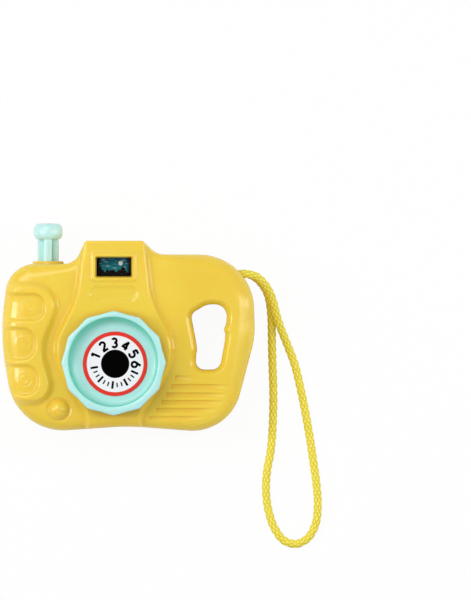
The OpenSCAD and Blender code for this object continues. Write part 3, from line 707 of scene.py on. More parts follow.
def inset_corners(corners: Sequence[Corner], d: float) -> list[Corner]:
    """Moves a polygon's sides inwards.

    A corner moves against the sum of its sides' outward directions, divided by one plus their
    product. An outer corner's radius shrinks by the distance and an inner one's grows.

    Args:
        corners: The corners.
        d: Distance.
    Returns:
        The moved corners.
    """
    table = np.array(corners, float)
    at = table[:, :2]
    ahead = np.roll(at, -1, axis=0) - at
    ahead /= np.linalg.norm(ahead, axis=1, keepdims=True)
    come = np.roll(ahead, 1, axis=0)
    out_a = np.stack([come[:, 1], -come[:, 0]], -1)
    out_b = np.stack([ahead[:, 1], -ahead[:, 0]], -1)
    moved = at - d * (out_a + out_b) / (1 + (out_a * out_b).sum(axis=1, keepdims=True))
    outer = come[:, 0] * ahead[:, 1] - come[:, 1] * ahead[:, 0] > 0
    radius = np.maximum(table[:, 2] + np.where(outer, -d, d), 0.8)
    edge = np.maximum(table[:, 3] - d, 0.4)
    return [tuple(row) for row in np.column_stack([moved, radius, edge])]


def mirrored(side: Sequence[Corner]) -> list[Corner]:
    """The corners of a right half, and their mirror images in reverse order."""
    return [*side, *((-x, y, radius, edge) for x, y, radius, edge in side[::-1])]


def rectangle(left: float, low: float, right: float, high: float, radius: float) -> list[Corner]:
    """The corners of a rectangle, all of one radius."""
    return [(x, y, radius, 0) for x, y in ((left, low), (right, low), (right, high), (left, high))]


def signed_distance(where: Array, polygon: Array) -> Array:
    """Distance of points from a polygon's nearest side, negative inside it.

    Args:
        where: Points, x and y in the last axis.
        polygon: Its corners, the last as the first.
    Returns:
        One distance for each point.
    """
    x, y = where[..., 0], where[..., 1]
    nearest = np.full(x.shape, np.inf)
    inside = np.zeros(x.shape, bool)
    for (x0, y0), (dx, dy) in zip(polygon[:-1], np.diff(polygon, axis=0)):
        share = np.clip(((x - x0) * dx + (y - y0) * dy) / (dx * dx + dy * dy + 1e-12), 0, 1)
        nearest = np.minimum(nearest, (x - x0 - share * dx) ** 2 + (y - y0 - share * dy) ** 2)
        if dy:
            inside ^= ((y0 <= y) != (y0 + dy <= y)) & (x < x0 + (y - y0) * dx / dy)
    return np.where(inside, -1.0, 1.0) * np.sqrt(nearest)


def box_distance(where: Array, centre: Pair, size: Pair, radius: float) -> Array:
    """Distance from a rectangle with rounded corners, negative inside it.

    The rectangle is shrunk by the radius, and the distance outside it less the radius is the result.

    Args:
        where: Points, x and y in the last axis.
        centre: The rectangle's middle.
        size: Its width and height.
        radius: Its corners' radius.
    Returns:
        One distance for each point.
    """
    away = np.abs(where - np.array(centre)) - np.array(size) / 2 + radius
    beyond = np.linalg.norm(np.maximum(away, 0), axis=-1)
    return beyond + np.minimum(away.max(axis=-1), 0) - radius


def fall(distance: Array, inner: float, outer: float) -> Array:
    """A smooth step that is one up to inner and zero from outer on."""
    share = np.clip((outer - distance) / (outer - inner), 0, 1)
    return share * share * (3 - 2 * share)


def bead(distance: Array, width: float) -> Array:
    """A smooth rounded line of that half width along zero distance."""
    return np.exp(-(distance / width) ** 2)


def revolve(profile: Sequence[Pair], columns: int, place: Pair, along_y: bool = False) -> Array:
    """Turns a profile of radius and height round an axis.

    Args:
        profile: Radii and heights.
        columns: Steps round the axis.
        place: The axis: x and y of an upright one, x and z of one along Y.
        along_y: Whether the axis lies along Y.
    Returns:
        The grid of points.
    """
    line = np.array(profile, float)
    angle = np.linspace(0, 2 * np.pi, columns + 1)
    across = line[:, :1] * np.cos(angle) + place[0]
    aside = line[:, :1] * np.sin(angle) + place[1]
    height = np.broadcast_to(line[:, 1:], across.shape)
    return np.stack([across, height, aside] if along_y else [across, aside, height], -1)


def stack_outline(outline: Array, levels: Sequence[Pair], normals: Array | None = None,
                  along_y: bool = False) -> Array:
    """A closed solid of one outline at several levels, each moved outwards by its own amount.

    Args:
        outline: The outline's points.
        levels: Pairs of outward move and height, from one end to the other.
        normals: The outline's outward directions, where a level moves.
        along_y: Whether the heights run along Y, the outline then being in x and z.
    Returns:
        The grid, closed at both ends by a row at the outline's middle.
    """
    table = np.array(levels, float)
    out = np.zeros_like(outline) if normals is None else normals
    flat = outline + table[:, :1, None] * out
    middle = np.broadcast_to(outline[:-1].mean(axis=0), flat[:1].shape)
    flat = np.concatenate([middle, flat, middle])
    height = np.concatenate([table[:1, 1], table[:, 1], table[-1:, 1]])
    height = np.broadcast_to(height[:, None], flat.shape[:2])
    order = [flat[..., 0], height, flat[..., 1]] if along_y else [flat[..., 0], flat[..., 1], height]
    return np.stack(order, -1)


def smooth_path(points: Array, spacing: float) -> Array:
    """A smooth curve through points, with even steps.

    Between two points runs a cubic whose slope at each is that of the line between its neighbours.

    Args:
        points: The points to pass.
        spacing: Length of a step.
    Returns:
        Points along the curve.
    """
    chord = np.append(0, np.cumsum(np.linalg.norm(np.diff(points, axis=0), axis=1)))
    slope = np.gradient(points, chord, axis=0)
    # Four times as fine as the steps, so that lengths along the curve are true
    place = np.linspace(0, chord[-1], int(chord[-1] / spacing * 4))
    k = np.clip(np.searchsorted(chord, place, side="right") - 1, 0, len(chord) - 2)
    width = (chord[k + 1] - chord[k])[:, None]
    t = (place - chord[k])[:, None] / width
    curve = ((2 * t ** 3 - 3 * t ** 2 + 1) * points[k] + (t ** 3 - 2 * t ** 2 + t) * width * slope[k]
             + (3 * t ** 2 - 2 * t ** 3) * points[k + 1] + (t ** 3 - t ** 2) * width * slope[k + 1])
    length = np.append(0, np.cumsum(np.linalg.norm(np.diff(curve, axis=0), axis=1)))
    even = np.linspace(0, length[-1], int(length[-1] / spacing))
    return np.stack([np.interp(even, length, curve[:, axis]) for axis in range(3)], -1)


def sweep(path: Array, radius: Array | float, columns: int, up: Triple) -> Array:
    """A round tube along a path, closed at both ends.

    A point is the path's plus the radius times the cosine of its angle to the side and the sine
    upwards, both square to the path.

    Args:
        path: Points of the centre line.
        radius: One radius, or a grid of radii by point and column.
        columns: Steps round the tube.
        up: A direction that the path never takes.
    Returns:
        The grid of points.
    """
    ahead = np.gradient(path, axis=0)
    ahead /= np.linalg.norm(ahead, axis=1, keepdims=True)
    side = np.cross(ahead, np.array(up, float))
    side /= np.linalg.norm(side, axis=1, keepdims=True)
    over = np.cross(side, ahead)
    angle = np.linspace(0, 2 * np.pi, columns + 1)
    wide = np.broadcast_to(radius, (len(path), columns + 1))[..., None]
    around = np.cos(angle)[:, None] * side[:, None] + np.sin(angle)[:, None] * over[:, None]
    tube = path[:, None] + wide * around
    first = np.broadcast_to(path[0], tube[:1].shape)
    last = np.broadcast_to(path[-1], tube[:1].shape)
    return np.concatenate([first, tube, last])


# Meshes and pieces

def make_mesh(name: str, grids: list[Array],
              attribute: tuple[str, Array] | None = None) -> bpy.types.Object:
    """Makes one object of closed grids.

    Neighbouring points of a grid span a quad. Points that meet are merged, which closes seams and
    poles, and faces are turned outwards.

    Args:
        name: The object's name.
        grids: Grids of points in millimetres.
        attribute: A name and one value for each point.
    Returns:
        The object, at the origin.
    """
    points = np.concatenate([grid.reshape(-1, 3) for grid in grids]) * MM
    quads = []
    base = 0
    for grid in grids:
        rows, columns = grid.shape[:2]
        index = np.arange(rows * columns).reshape(rows, columns) + base
        corners = [index[:-1, :-1], index[:-1, 1:], index[1:, 1:], index[1:, :-1]]
        quads.append(np.stack(corners, -1).reshape(-1, 4))
        base += rows * columns
    faces = np.concatenate(quads)
    mesh = bpy.data.meshes.new(name)
    mesh.vertices.add(len(points))
    mesh.vertices.foreach_set("co", points.ravel())
    mesh.loops.add(faces.size)
    mesh.loops.foreach_set("vertex_index", faces.ravel().astype(np.int32))
    mesh.polygons.add(len(faces))
    mesh.polygons.foreach_set("loop_start", np.arange(0, faces.size, 4, dtype=np.int32))
    mesh.update(calc_edges=True)
    if attribute:
        layer = mesh.attributes.new(attribute[0], "FLOAT", "POINT")
        layer.data.foreach_set("value", attribute[1].ravel().astype(np.float32))
    shape = bmesh.new()
    shape.from_mesh(mesh)
    bmesh.ops.remove_doubles(shape, verts=shape.verts, dist=MERGE)
    bmesh.ops.recalc_face_normals(shape, faces=shape.faces)
    shape.to_mesh(mesh)
    shape.free()
    piece = bpy.data.objects.new(name, mesh)
    bpy.context.scene.collection.objects.link(piece)
    return piece


def carve(piece: bpy.types.Object, cutter: bpy.types.Object) -> None:
    """Cuts one closed mesh out of another and removes the cutter.

    Args:
        piece: The piece that is cut.
        cutter: The closed mesh to cut out.
    Raises:
        RuntimeError: If the cut loses most of the piece.
    """
    cut = piece.modifiers.new("cut", "BOOLEAN")
    cut.operation = "DIFFERENCE"
    cut.solver = "EXACT"
    cut.object = cutter
    bpy.context.view_layer.update()
    shown = piece.evaluated_get(bpy.context.evaluated_depsgraph_get())
    result = bpy.data.meshes.new_from_object(shown)
    piece.modifiers.clear()
    old = piece.data
    if len(result.polygons) < KEPT_SHARE * len(old.polygons):
        raise RuntimeError(f"{piece.name} lost its faces when {cutter.name} was cut out")
    piece.data = result
    bpy.data.meshes.remove(old)
    bpy.data.objects.remove(cutter)


def join(piece: bpy.types.Object, other: bpy.types.Object) -> None:
    """Puts the faces of another mesh into a piece's mesh and removes the other object.

    Args:
        piece: The piece that gains the faces.
        other: The object that gives them.
    """
    shape = bmesh.new()
    shape.from_mesh(piece.data)
    shape.from_mesh(other.data)
    shape.to_mesh(piece.data)
    shape.free()
    bpy.data.objects.remove(other)


@dataclass
class Studio:
    """Materials made once, and how a piece is finished and fastened to its body."""

    materials: dict[str, bpy.types.Material] = field(default_factory=dict)

    def material(self, finish: Finish) -> bpy.types.Material:
        """The material of a finish, made at its first use.

        Args:
            finish: The finish.
        Returns:
            Its material.
        """
        if finish.name not in self.materials:
            self.materials[finish.name] = finish.material()
        return self.materials[finish.name]

    def dress(self, piece: bpy.types.Object, finish: Finish, carrier: Carrier,
              nodes: tuple[str, ...] = (), sharp: float = 38.0) -> None:
        """Gives a new piece its shading, material and body.

        Args:
            piece: The piece.
            finish: Its finish.
            carrier: The body that it moves with.
            nodes: CAD nodes that it stands for.
            sharp: Angle in degrees from which an edge is drawn sharp.
        """
        piece.data.shade_smooth()
        piece.data.set_sharp_from_angle(angle=math.radians(sharp))
        piece.data.materials.clear()
        piece.data.materials.append(self.material(finish))
        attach(piece, carrier.value)
        if nodes:
            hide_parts(*nodes)
        LOG.info("%s: %d faces on %s", piece.name, len(piece.data.polygons), carrier.value)

    def repaint(self, node: str, finish: Finish) -> None:
        """Gives a CAD node that stays its material.

        Args:
            node: The node's name.
            finish: Its finish.
        """
        target = frame["nodes"][node]
        target.data.materials.clear()
        target.data.materials.append(self.material(finish))
        LOG.info("%s: keeps its CAD shape", node)


@dataclass
class WristStrap:
    """The braided loop that leaves the upper right corner and comes back into it, and its knot."""

    diameter: float = 3.7
    strands: int = 6
    stitch: float = 3.2
    relief: float = 0.3
    # Share of the upper strand's own height in the braid, the rest being where both families rise
    strand_share: float = 0.75
    columns: int = 48
    step: float = 0.26
    told_step: int = 4
    crease_deg: float = 80.0
    knot_r: float = 1.5
    knot_gap: float = 0.05
    knot_points: int = 181
    knot_columns: int = 20
    # Middle, swing and turn per row of the shade and highlight painted in bands along the knot
    knot_painted_bands: tuple[float, float, float] = (0.5, 0.4, 0.9)
    route: tuple[Triple, ...] = (
        (47, 38.8, 13.05), (52, 38.8, 13.05), (58.6, 38.8, 13.0), (61.7, 37.4, 11.2), (64.9, 34.2, 8.5),
        (67.2, 30, 5.8), (68.3, 25.3, 3.7), (68.8, 20.5, 2.4), (69, 15, 1.9), (69.1, 8, 1.85),
        (69.3, 0, 1.85), (69.7, -12, 1.85), (69.5, -26, 1.85), (68.5, -39, 1.85), (66.9, -48, 1.85),
        (66.5, -57, 1.85), (67.7, -65.5, 1.85), (70.4, -73, 1.85), (74.6, -78.2, 1.85),
        (79.4, -79.6, 1.85), (84.4, -77.4, 1.85), (88, -71.6, 1.85), (89.2, -63, 1.85),
        (88.7, -54, 1.85), (87.2, -43, 1.85), (84.8, -27.5, 1.85), (81.9, -12.5, 1.85),
        (79, -0.5, 1.85), (75.6, 8.5, 2.3), (73, 15, 4.2), (71.2, 20.5, 6.2), (69.9, 25.8, 8),
        (68.2, 30.6, 10.1), (65.5, 34.9, 12.7), (62, 37.9, 15.2), (58.8, 38.8, 16.8),
        (52, 38.8, 16.95), (47, 38.8, 16.95))

    def braid(self, rows: int) -> Array:
        """Height of the braid by row and column.

        Two families of strands wind round the cord in opposite directions. Each is the cosine of
        its turn plus or minus the way along, and the sign of the product of the doubled cosines
        says which of the two lies on top.

        Args:
            rows: Points along the cord.
        Returns:
            Heights from 0 in a gap to 1 on a crown.
        """
        way = np.arange(rows)[:, None] * self.step / self.stitch * np.pi
        turn = np.linspace(0, 2 * np.pi, self.columns + 1) * self.strands / 2
        one = np.abs(np.cos(turn + way))
        two = np.abs(np.cos(turn - way))
        over = np.cos(2 * turn) * np.cos(2 * way)
        upper = np.where(over > 0, one, two)
        return np.clip(upper * self.strand_share + (1 - self.strand_share) * one * two, 0, 1)

    def loop(self, studio: Studio) -> None:
        """Makes the cord: a tube along the route whose radius follows the braid.

        Args:
            studio: Dresses the piece.
        """
        path = smooth_path(np.array(self.route), self.step)
        height = self.braid(len(path))
        radius = self.diameter / 2 - self.relief * (1 - height)
        tube = sweep(path, radius, self.columns, (0, 0, 1))
        # The braid's height also picks the painted shade in the gaps and the painted highlight on the crowns
        shown = np.concatenate([height[:1], height, height[-1:]])
        cord = make_mesh("strap_braid", [tube], (BRAID_LAYER, shown))
        studio.dress(cord, CORD, Carrier.CAMERA, ("strap_cord",), self.crease_deg)

    def knot(self, studio: Studio) -> None:
        """Makes the knot: a cord along a trefoil that fills the room of its CAD node.

        The trefoil's sides are the sine of three turns, the sine of one turn plus twice that of
        two, and the cosine of one turn less twice that of two.

        Args:
            studio: Dresses the piece.
        """
        low, high = (np.array(corner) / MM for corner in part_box("strap_knot"))
        turn = np.linspace(0, 2 * np.pi, self.knot_points)
        loops = np.stack([np.sin(3 * turn), np.sin(turn) + 2 * np.sin(2 * turn),
                          np.cos(turn) - 2 * np.cos(2 * turn)], -1)
        reach = (high - low) / 2 - self.knot_r - self.knot_gap
        line = (low + high) / 2 + loops / np.abs(loops).max(axis=0) * reach
        body = sweep(line, self.knot_r, self.knot_columns, (0.2, 0.1, 1.0))
        # Painted shade and highlight in bands along the knot, read as the braid's height
        middle, swing, pace = self.knot_painted_bands
        level = middle + swing * np.sin(np.arange(body.shape[0])[:, None] * pace)
        shown = np.broadcast_to(level, body.shape[:2])
        piece = make_mesh("strap_end_knot", [body], (BRAID_LAYER, shown))
        studio.dress(piece, CORD, Carrier.CAMERA, ("strap_knot",), self.crease_deg)

    def build(self, studio: Studio) -> None:
        """Makes the cord and the knot."""
        self.loop(studio)
        self.knot(studio)


@dataclass
class Shells:
    """The two moulded halves of the body, with the collar of the plunger."""

    parting: float = 15.0
    face: float = 29.0
    wall: float = 2.0
    # How far the panel and the grip stand out of the front face
    rise: float = 2.6
    # Inset of the rims, which draws the line between the shells
    seam: float = 0.22
    side_round: float = 9.0
    back_round: float = 7.0
    # The rounding reaches so many times farther into the face than it drops
    run_out: float = 1.3
    # Power of the cosine that its inset follows
    run_out_power: float = 0.77
    columns: int = 800
    back_columns: int = 560
    cavity_columns: int = 300
    hole_columns: int = 260
    edge_rows: int = 24
    face_rows: int = 74
    back_rows: int = 10
    cavity_rows: int = 6
    # The rows of a face meet at the pole, coarsely within this radius, which the lens ring covers
    pole: Pair = (0.0, 2.0)
    hidden_r: float = 18.0
    crease_deg: float = 40.0
    # A cutter with these ends in Z passes through the whole body
    through: Pair = (-9.0, 40.0)
    screw_places: tuple[Pair, ...] = ((-40.5, 32.5), (-37, -14), (45, -15), (33, 38.5))
    wheel_place: Pair = (0, 20.9)
    leaf_place: Pair = (16, -10)
    button_x: float = -28.9
    picture_y: float = 41.9
    strap_y: float = 38.8
    # Right half of the panel and of the room behind it, and the grip pad, as corners. A step is full at the
    # first distance from its outline and has ended at the second
    panel_side: tuple[Corner, ...] = ((11.4, -40, 0.01, 0), (12.2, -22, 8, 0), (28.7, 4, 22, 0),
                                      (16.5, 28.3, 40, 0), (12.7, 62, 0.01, 0))
    panel_step: Pair = (-1.2, 0.9)
    room_side: tuple[Corner, ...] = ((9.4, -22, 0.01, 0), (26.7, 4, 22, 0), (14.5, 28.3, 40, 0),
                                     (10.7, 51.4, 0.01, 0))
    room_z: Pair = (26.9, 29.6)
    pad: tuple[Corner, ...] = ((-60, -17.6, 0.01, 0), (-24.8, -17.6, 8, 0), (-31.2, 6.4, 18, 0),
                               (-20.8, 34.6, 10, 0), (-60, 34.6, 0.01, 0))
    pad_step: Pair = (-2.0, 1.3)
    # Pad and recesses end within these distances of the body's outline
    side_step: Pair = (-2.0, 4.0)
    # Finger recesses as right end, low side and high side
    recesses: tuple[Triple, ...] = ((-30.2, 18.4, 30.3), (-34.0, 1.2, 15.4), (-32.8, -14.2, -0.8))
    recess_left: float = -52.0
    recess_depth: float = 1.3
    # Radius of a recess's left corners, and of the right ones as a share of its height
    recess_round: float = 1.5
    recess_bow: float = 0.42
    recess_step: Pair = (-1.0, 0.6)
    # Faint double rings in the recesses as x, y and radius
    rings: tuple[Triple, ...] = ((-36.6, 24.3, 2.9), (-39.4, 8.3, 3.1), (-38.8, -7.4, 3.3))
    ring_height: float = 0.14
    ring_width: float = 0.5
    frame_size: Pair = (19.4, 12.4)
    frame_round: float = 1.2
    frame_rise: float = 0.6
    frame_step: Pair = (-0.6, 0.4)
    pocket_y: float = 30.3
    pocket_size: Pair = (20.7, 6.5)
    pocket_depth: float = 0.55
    pocket_step: Pair = (-1.0, 0.5)
    dome_place: Pair = (-24.0, -20.4)
    dome_r: float = 4.35
    dome_rise: float = 2.4
    dome_sink: float = 0.15
    # Moat round the dome: its depth, and the radii between which its outer side rises
    moat: Triple = (0.4, 4.7, 5.7)
    hole_corners: tuple[Corner, ...] = ((35.51, -3, 3.65, 0), (46.15, -3, 4.21, 0), (48.45, 9.7, 19.1, 0),
                                        (49.7, 25.6, 5.18, 0), (40.6, 25.6, 8.59, 0),
                                        (33.5, 21.42, 3.24, 0), (36.09, 7.75, 17.2, 0))
    # Low swells on the hole's sides as x, y and height
    swells: tuple[Triple, ...] = ((48.9, 14.8, 0.75), (36.0, 5.6, 0.25))
    swell_width: float = 1.5
    # Rounded lips of the hole as outward move and height, from the back to the front
    front_lip: tuple[Pair, ...] = ((0, 5), (0, 25.6), (0.1, 26.5), (0.4, 27.2), (1.1, 28.0), (1.75, 28.62),
                                   (2.05, 28.86), (2.3, 28.97), (2.6, 29.02), (2.7, 33))
    rear_lip: tuple[Pair, ...] = ((2.6, -4), (2.5, -0.02), (2.1, 0.1), (1.5, 0.5), (0.9, 1.1), (0.4, 1.8),
                                  (0.1, 2.6), (0, 3.4), (0, 25))
    # Picture opening as half width, half height and z
    opening_steps: tuple[Triple, ...] = ((7.5, 4.0, 28), (7.5, 4.0, 29.7), (8.1, 4.6, 32.2), (8.5, 5.0, 34))
    # Grooves as y, left end and right end
    groove_lines: tuple[Triple, ...] = ((-6.4, 26.8, 35.8), (-10.2, 25.1, 51.6), (-13.9, 22.9, 50.9),
                                        (-17.2, 20.8, 49.7), (-20.6, 18.6, 46.8), (-24.1, 15.7, 41.0))
    groove_depth: float = 0.75
    groove_end_depth: float = 0.05
    # Length over which a groove's floor rises to the face
    groove_fade: float = 11.0
    # A groove's trough as place across and share of the depth, or height over the face where below zero
    trough: tuple[Pair, ...] = ((-1.1, -0.6), (-1.1, -0.03), (-0.85, 0.4), (-0.5, 0.8), (0, 1), (0.5, 0.8),
                                (0.85, 0.4), (1.1, -0.03), (1.1, -0.6), (-1.1, -0.6))
    bore_r: float = 4.75
    bore_y: Pair = (39.0, 46.0)
    # The strap's slot runs along X
    slot_half_h: float = 2.25
    slot_z: Pair = (10.8, 19.2)
    slot_round: float = 2.1
    slot_x: Pair = (45.0, 70.0)
    # Front posts as outer radius, bore, low end and high end
    screw_tube: Quad = (3.5, 1.4, 15.0, 27.1)
    wheel_tube: Quad = (2.5, 1.2, 20.73, 29.7)
    leaf_tube: Quad = (3.0, 1.2, 26.1, 29.7)
    # The block that the spring stands on
    seat_half_w: float = 5.0
    seat_y: Pair = (6.4, 8.9)
    seat_round: float = 0.3
    seat_z: Pair = (1.9, 18.2)
    # Turned profiles as radius and height
    eyepiece_cut: tuple[Pair, ...] = ((0, -1), (10.5, -1), (9.5, 0), (6.3, 3.2), (6.3, 8), (0, 8))
    eyepiece_tube: tuple[Pair, ...] = ((7.6, 1.9), (8.85, 1.9), (8.85, 17.7), (7.55, 17.7), (7.55, 3.2),
                                       (6.3, 3.2), (7.6, 1.9))
    screw_cut: tuple[Pair, ...] = ((0, -1), (2.8, -1), (2.8, 6), (0, 6))
    rear_post: tuple[Pair, ...] = ((2.8, 1.9), (3.5, 1.9), (3.5, 15), (1.45, 15), (1.45, 6), (2.8, 6),
                                   (2.8, 1.9))
    spring_pin: tuple[Pair, ...] = ((0, 8.8), (2.3, 8.8), (2.3, 11.1), (1.9, 11.5), (0, 11.5))
    collar_ring: tuple[Pair, ...] = ((4.75, 41.5), (6.75, 41.5), (6.75, 43.9), (6.6, 44.25), (6.3, 44.5),
                                     (5.2, 44.5), (4.9, 44.35), (4.75, 44.0), (4.75, 41.5))

    def corners(self, side: float) -> list[Corner]:
        """Corners of the body, each with the rounding of its edge.

        Args:
            side: Rounding of the right side's edge, of which some others are a share.
        Returns:
            The corners, counterclockwise from the middle of the foot.
        """
        return [(6, -27.6, 100, 0.6 * side), (50.5, -31, 21.5, 0.7 * side), (61.7, 11.5, 36, side),
                (60.3, 47.4, 24, 0.92 * side), (18.7, 47.4, 9, 4), (12.5, 53.4, 1.6, 1),
                (-12.5, 53.4, 1.6, 1), (-17.1, 43.4, 7, 4), (-45.7, 43.4, 13.2, 6.5),
                (-50, 12.5, 95, side), (-42.5, -31, 24.5, 0.75 * side)]

    def half(self, outline: Outline, z_face: float, face_rows: int, seam: float,
             relief: Relief | None = None) -> Array:
        """A closed half of the body, from its parting face to a face with rounded edges.

        Rows run from the middle of the parting face out to the rim, up the wall, over the edge and in
        to the middle of the face. Over the edge the height follows the sine of an angle, and the
        inset one less a power of its cosine, so the rounding runs out into the face without a
        crease. The relief adds to the height, and fades down the wall.

        Args:
            outline: The outline at the parting.
            z_face: Height of the face.
            face_rows: Rows on the face.
            seam: Inset of the rim that draws the line between the shells.
            relief: Gives the added height from x and y, or nothing.
        Returns:
            The grid of points.
        """
        toward = np.sign(z_face - self.parting)
        p, n = outline.points, outline.normals
        edge = outline.edge
        reach = self.run_out * edge
        angle = np.linspace(0, np.pi / 2, self.edge_rows)[:, None]
        drawn_in = 1 - np.maximum(np.cos(angle), 0) ** self.run_out_power
        round_xy = p - (reach * drawn_in)[..., None] * n
        round_z = z_face - toward * edge * (1 - np.sin(angle))
        # Wall rows: shares of its height, closer at the rim, and shares of the seam's inset
        up = np.array([0, 0.03, 0.08, 0.25, 0.5, 0.75])[:, None]
        inset = np.array([seam, 0.4 * seam, 0, 0, 0, 0])[:, None, None]
        wall_z = self.parting + up * (z_face - toward * edge - self.parting)
        wall_xy = p - inset * n
        rim = p - reach[:, None] * n
        away = np.linalg.norm(rim - self.pole, axis=1)
        far = np.clip(1 - self.hidden_r / away, 0.02, 1)
        share = np.concatenate([np.linspace(0, 1, face_rows)[1:, None] * far,
                                far + np.array([0.33, 0.66, 1.0])[:, None] * (1 - far)])
        face_xy = rim + share[..., None] * (np.array(self.pole) - rim)
        face_z = np.full(share.shape, z_face)
        cap_xy = np.broadcast_to(np.array(self.pole), p.shape)[None]
        cap_z = np.full((1, len(p)), self.parting)
        xy = np.concatenate([cap_xy, wall_xy, round_xy, face_xy])
        z = np.concatenate([cap_z, wall_z, round_z, face_z])
        if relief:
            weight = np.ones(len(z))
            weight[:len(up) + 1] = np.append(0, up[:, 0])
            z = z + weight[:, None] * relief(xy)
        return np.concatenate([xy, z[..., None]], -1)

    def hole(self) -> Outline:
        """The handle hole, its sides moved inwards by two low swells between the fingers' places.

        Returns:
            The outline.
        """
        line = rounded_outline(self.hole_corners, self.hole_columns)
        swell = sum(bead(np.linalg.norm(line.points - np.array([x, y]), axis=1), self.swell_width) * height
                    for x, y, height in self.swells)
        return Outline(line.points - swell[:, None] * line.normals, line.normals, line.edge)

    def relief(self, xy: Array) -> Array:
        """Height of the front's raised and sunk forms over its plain face.

        Panel, grip pad and picture frame are smooth steps of the distance from their outlines, the
        finger recesses and the pocket are steps downwards, the dome is a cap of a ball in a moat, and
        the rings in the recesses are rounded lines along zero distance.

        Args:
            xy: Points on the face.
        Returns:
            One height for each point.
        """
        panel = rounded_outline(mirrored(self.panel_side), 260)
        pad = rounded_outline(self.pad, 220)
        body = rounded_outline(self.corners(self.side_round), 200)
        within = 1 - fall(-signed_distance(xy, body.points), *self.side_step)
        panel_step = fall(signed_distance(xy, panel.points), *self.panel_step)
        pad_step = fall(signed_distance(xy, pad.points), *self.pad_step) * within
        height = self.rise * np.maximum(panel_step, pad_step)
        for right, low, high in self.recesses:
            bow = self.recess_bow * (high - low)
            line = rounded_outline([(self.recess_left, low, self.recess_round, 0), (right, low, bow, 0),
                                    (right, high, bow, 0),
                                    (self.recess_left, high, self.recess_round, 0)], 140)
            step = fall(signed_distance(xy, line.points), *self.recess_step)
            height = height - self.recess_depth * step * within
        for x, y, radius in self.rings:
            away = np.hypot(xy[..., 0] - x, xy[..., 1] - y)
            outer = bead(away - radius, self.ring_width)
            inner = bead(away - radius / 2, self.ring_width)
            height = height + self.ring_height * (outer + inner)
        border = box_distance(xy, (0, self.picture_y), self.frame_size, self.frame_round)
        height = height + self.frame_rise * fall(border, *self.frame_step)
        pocket = box_distance(xy, (0, self.pocket_y), self.pocket_size, self.pocket_size[1] / 2)
        height = height - self.pocket_depth * fall(pocket, *self.pocket_step)
        away = np.hypot(xy[..., 0] - self.dome_place[0], xy[..., 1] - self.dome_place[1])
        ball = (self.dome_r ** 2 + self.dome_rise ** 2) / (2 * self.dome_rise)
        dome = np.sqrt(np.maximum(ball ** 2 - away ** 2, 0)) - (ball - self.dome_rise)
        depth, moat_in, moat_out = self.moat
        height = height - depth * fall(away, moat_in, moat_out)
        near = away < self.dome_r + self.dome_sink
        return np.where(near, np.maximum(height, dome - self.dome_sink), height)

    def grooves(self) -> list[Array]:
        """Cutters of the six grooves at the lower right.

        Each is a round trough carried along X, whose floor rises to the face over its last part on
        the right.

        Returns:
            One grid for each groove.
        """
        across, down = np.array(self.trough).T
        cutters = []
        for y, left, right in self.groove_lines:
            x = np.linspace(left, right, 40)
            deep = self.groove_end_depth + self.groove_depth * fall(x, right - self.groove_fade, right)
            z = self.face - np.where(down < 0, down, down * deep[:, None])
            rows = np.stack([np.broadcast_to(x[:, None], z.shape),
                             np.broadcast_to(y + across, z.shape), z], -1)
            ends = [np.broadcast_to(rows[k, :-1].mean(axis=0), rows[:1].shape) for k in (0, -1)]
            cutters.append(np.concatenate([ends[0], rows, ends[1]]))
        return cutters

    def ways(self) -> list[Array]:
        """Cutters of the plunger's bore and of the slot for the strap's two ways.

        Returns:
            The two grids.
        """
        low, high = self.bore_y
        bore = revolve([(0, low), (self.bore_r, low), (self.bore_r, high), (0, high)], 72,
                       (self.button_x, self.parting), True)
        back, front = self.slot_z
        ring = rounded_outline(rectangle(self.strap_y - self.slot_half_h, back,
                                         self.strap_y + self.slot_half_h, front, self.slot_round), 64)
        slot = stack_outline(ring.points, [(0, x) for x in self.slot_x])
        return [bore, slot[..., [2, 0, 1]]]

    def opening(self) -> Array:
        """Cutter of the picture's opening: a rectangle that widens towards the front.

        Returns:
            The grid of points.
        """
        edge = rounded_outline(rectangle(-1, -1, 1, 1, 0.06), 80).points
        steps = np.array(self.opening_steps)
        x = edge[:, 0] * steps[:, :1]
        y = edge[:, 1] * steps[:, 1:2] + self.picture_y
        walls = np.stack([x, y, np.broadcast_to(steps[:, 2:], x.shape)], -1)
        ends = [np.broadcast_to(np.array([0, self.picture_y, z]), walls[:1].shape)
                for z in (steps[0, 2], steps[-1, 2])]
        return np.concatenate([ends[0], walls, ends[1]])

    def tube(self, place: Pair, outer: float, inner: float, low: float, high: float) -> Array:
        """A plain tube along Z as a closed grid."""
        return revolve([(inner, low), (outer, low), (outer, high), (inner, high), (inner, low)], 48, place)

    def hollow_half(self, name: str, corners: list[Corner], z_face: float, columns: int, rows: int,
                    relief: Relief | None = None) -> bpy.types.Object:
        """Makes half of the body and cuts its cavity out, which leaves a wall round the handle hole.

        The cavity is a plain half that is inset by the wall and reaches past the parting face.

        Args:
            name: Front or rear.
            corners: Corners of the body.
            z_face: Height of the half's face.
            columns: Points along the outline.
            rows: Rows on the face.
            relief: Gives the added height from x and y, or nothing.
        Returns:
            The hollow half.
        """
        toward = 1.0 if z_face > self.parting else -1.0
        outline = rounded_outline(corners, columns)
        piece = make_mesh(f"{name}_housing", [self.half(outline, z_face, rows, self.seam, relief)])
        inner = rounded_outline(inset_corners(corners, self.wall), self.cavity_columns)
        plain = self.half(inner, z_face - toward * self.wall, self.cavity_rows, 0.0)
        at_parting = toward * (plain[..., 2] - self.parting) <= 1e-6
        plain[..., 2] = np.where(at_parting, self.parting - toward, plain[..., 2])
        cavity = make_mesh(f"{name}_cavity", [plain])
        hole = self.hole()
        sleeve = stack_outline(hole.points, [(self.wall, z) for z in self.through], hole.normals)
        carve(cavity, make_mesh("hole_wall", [sleeve]))
        carve(piece, cavity)
        return piece

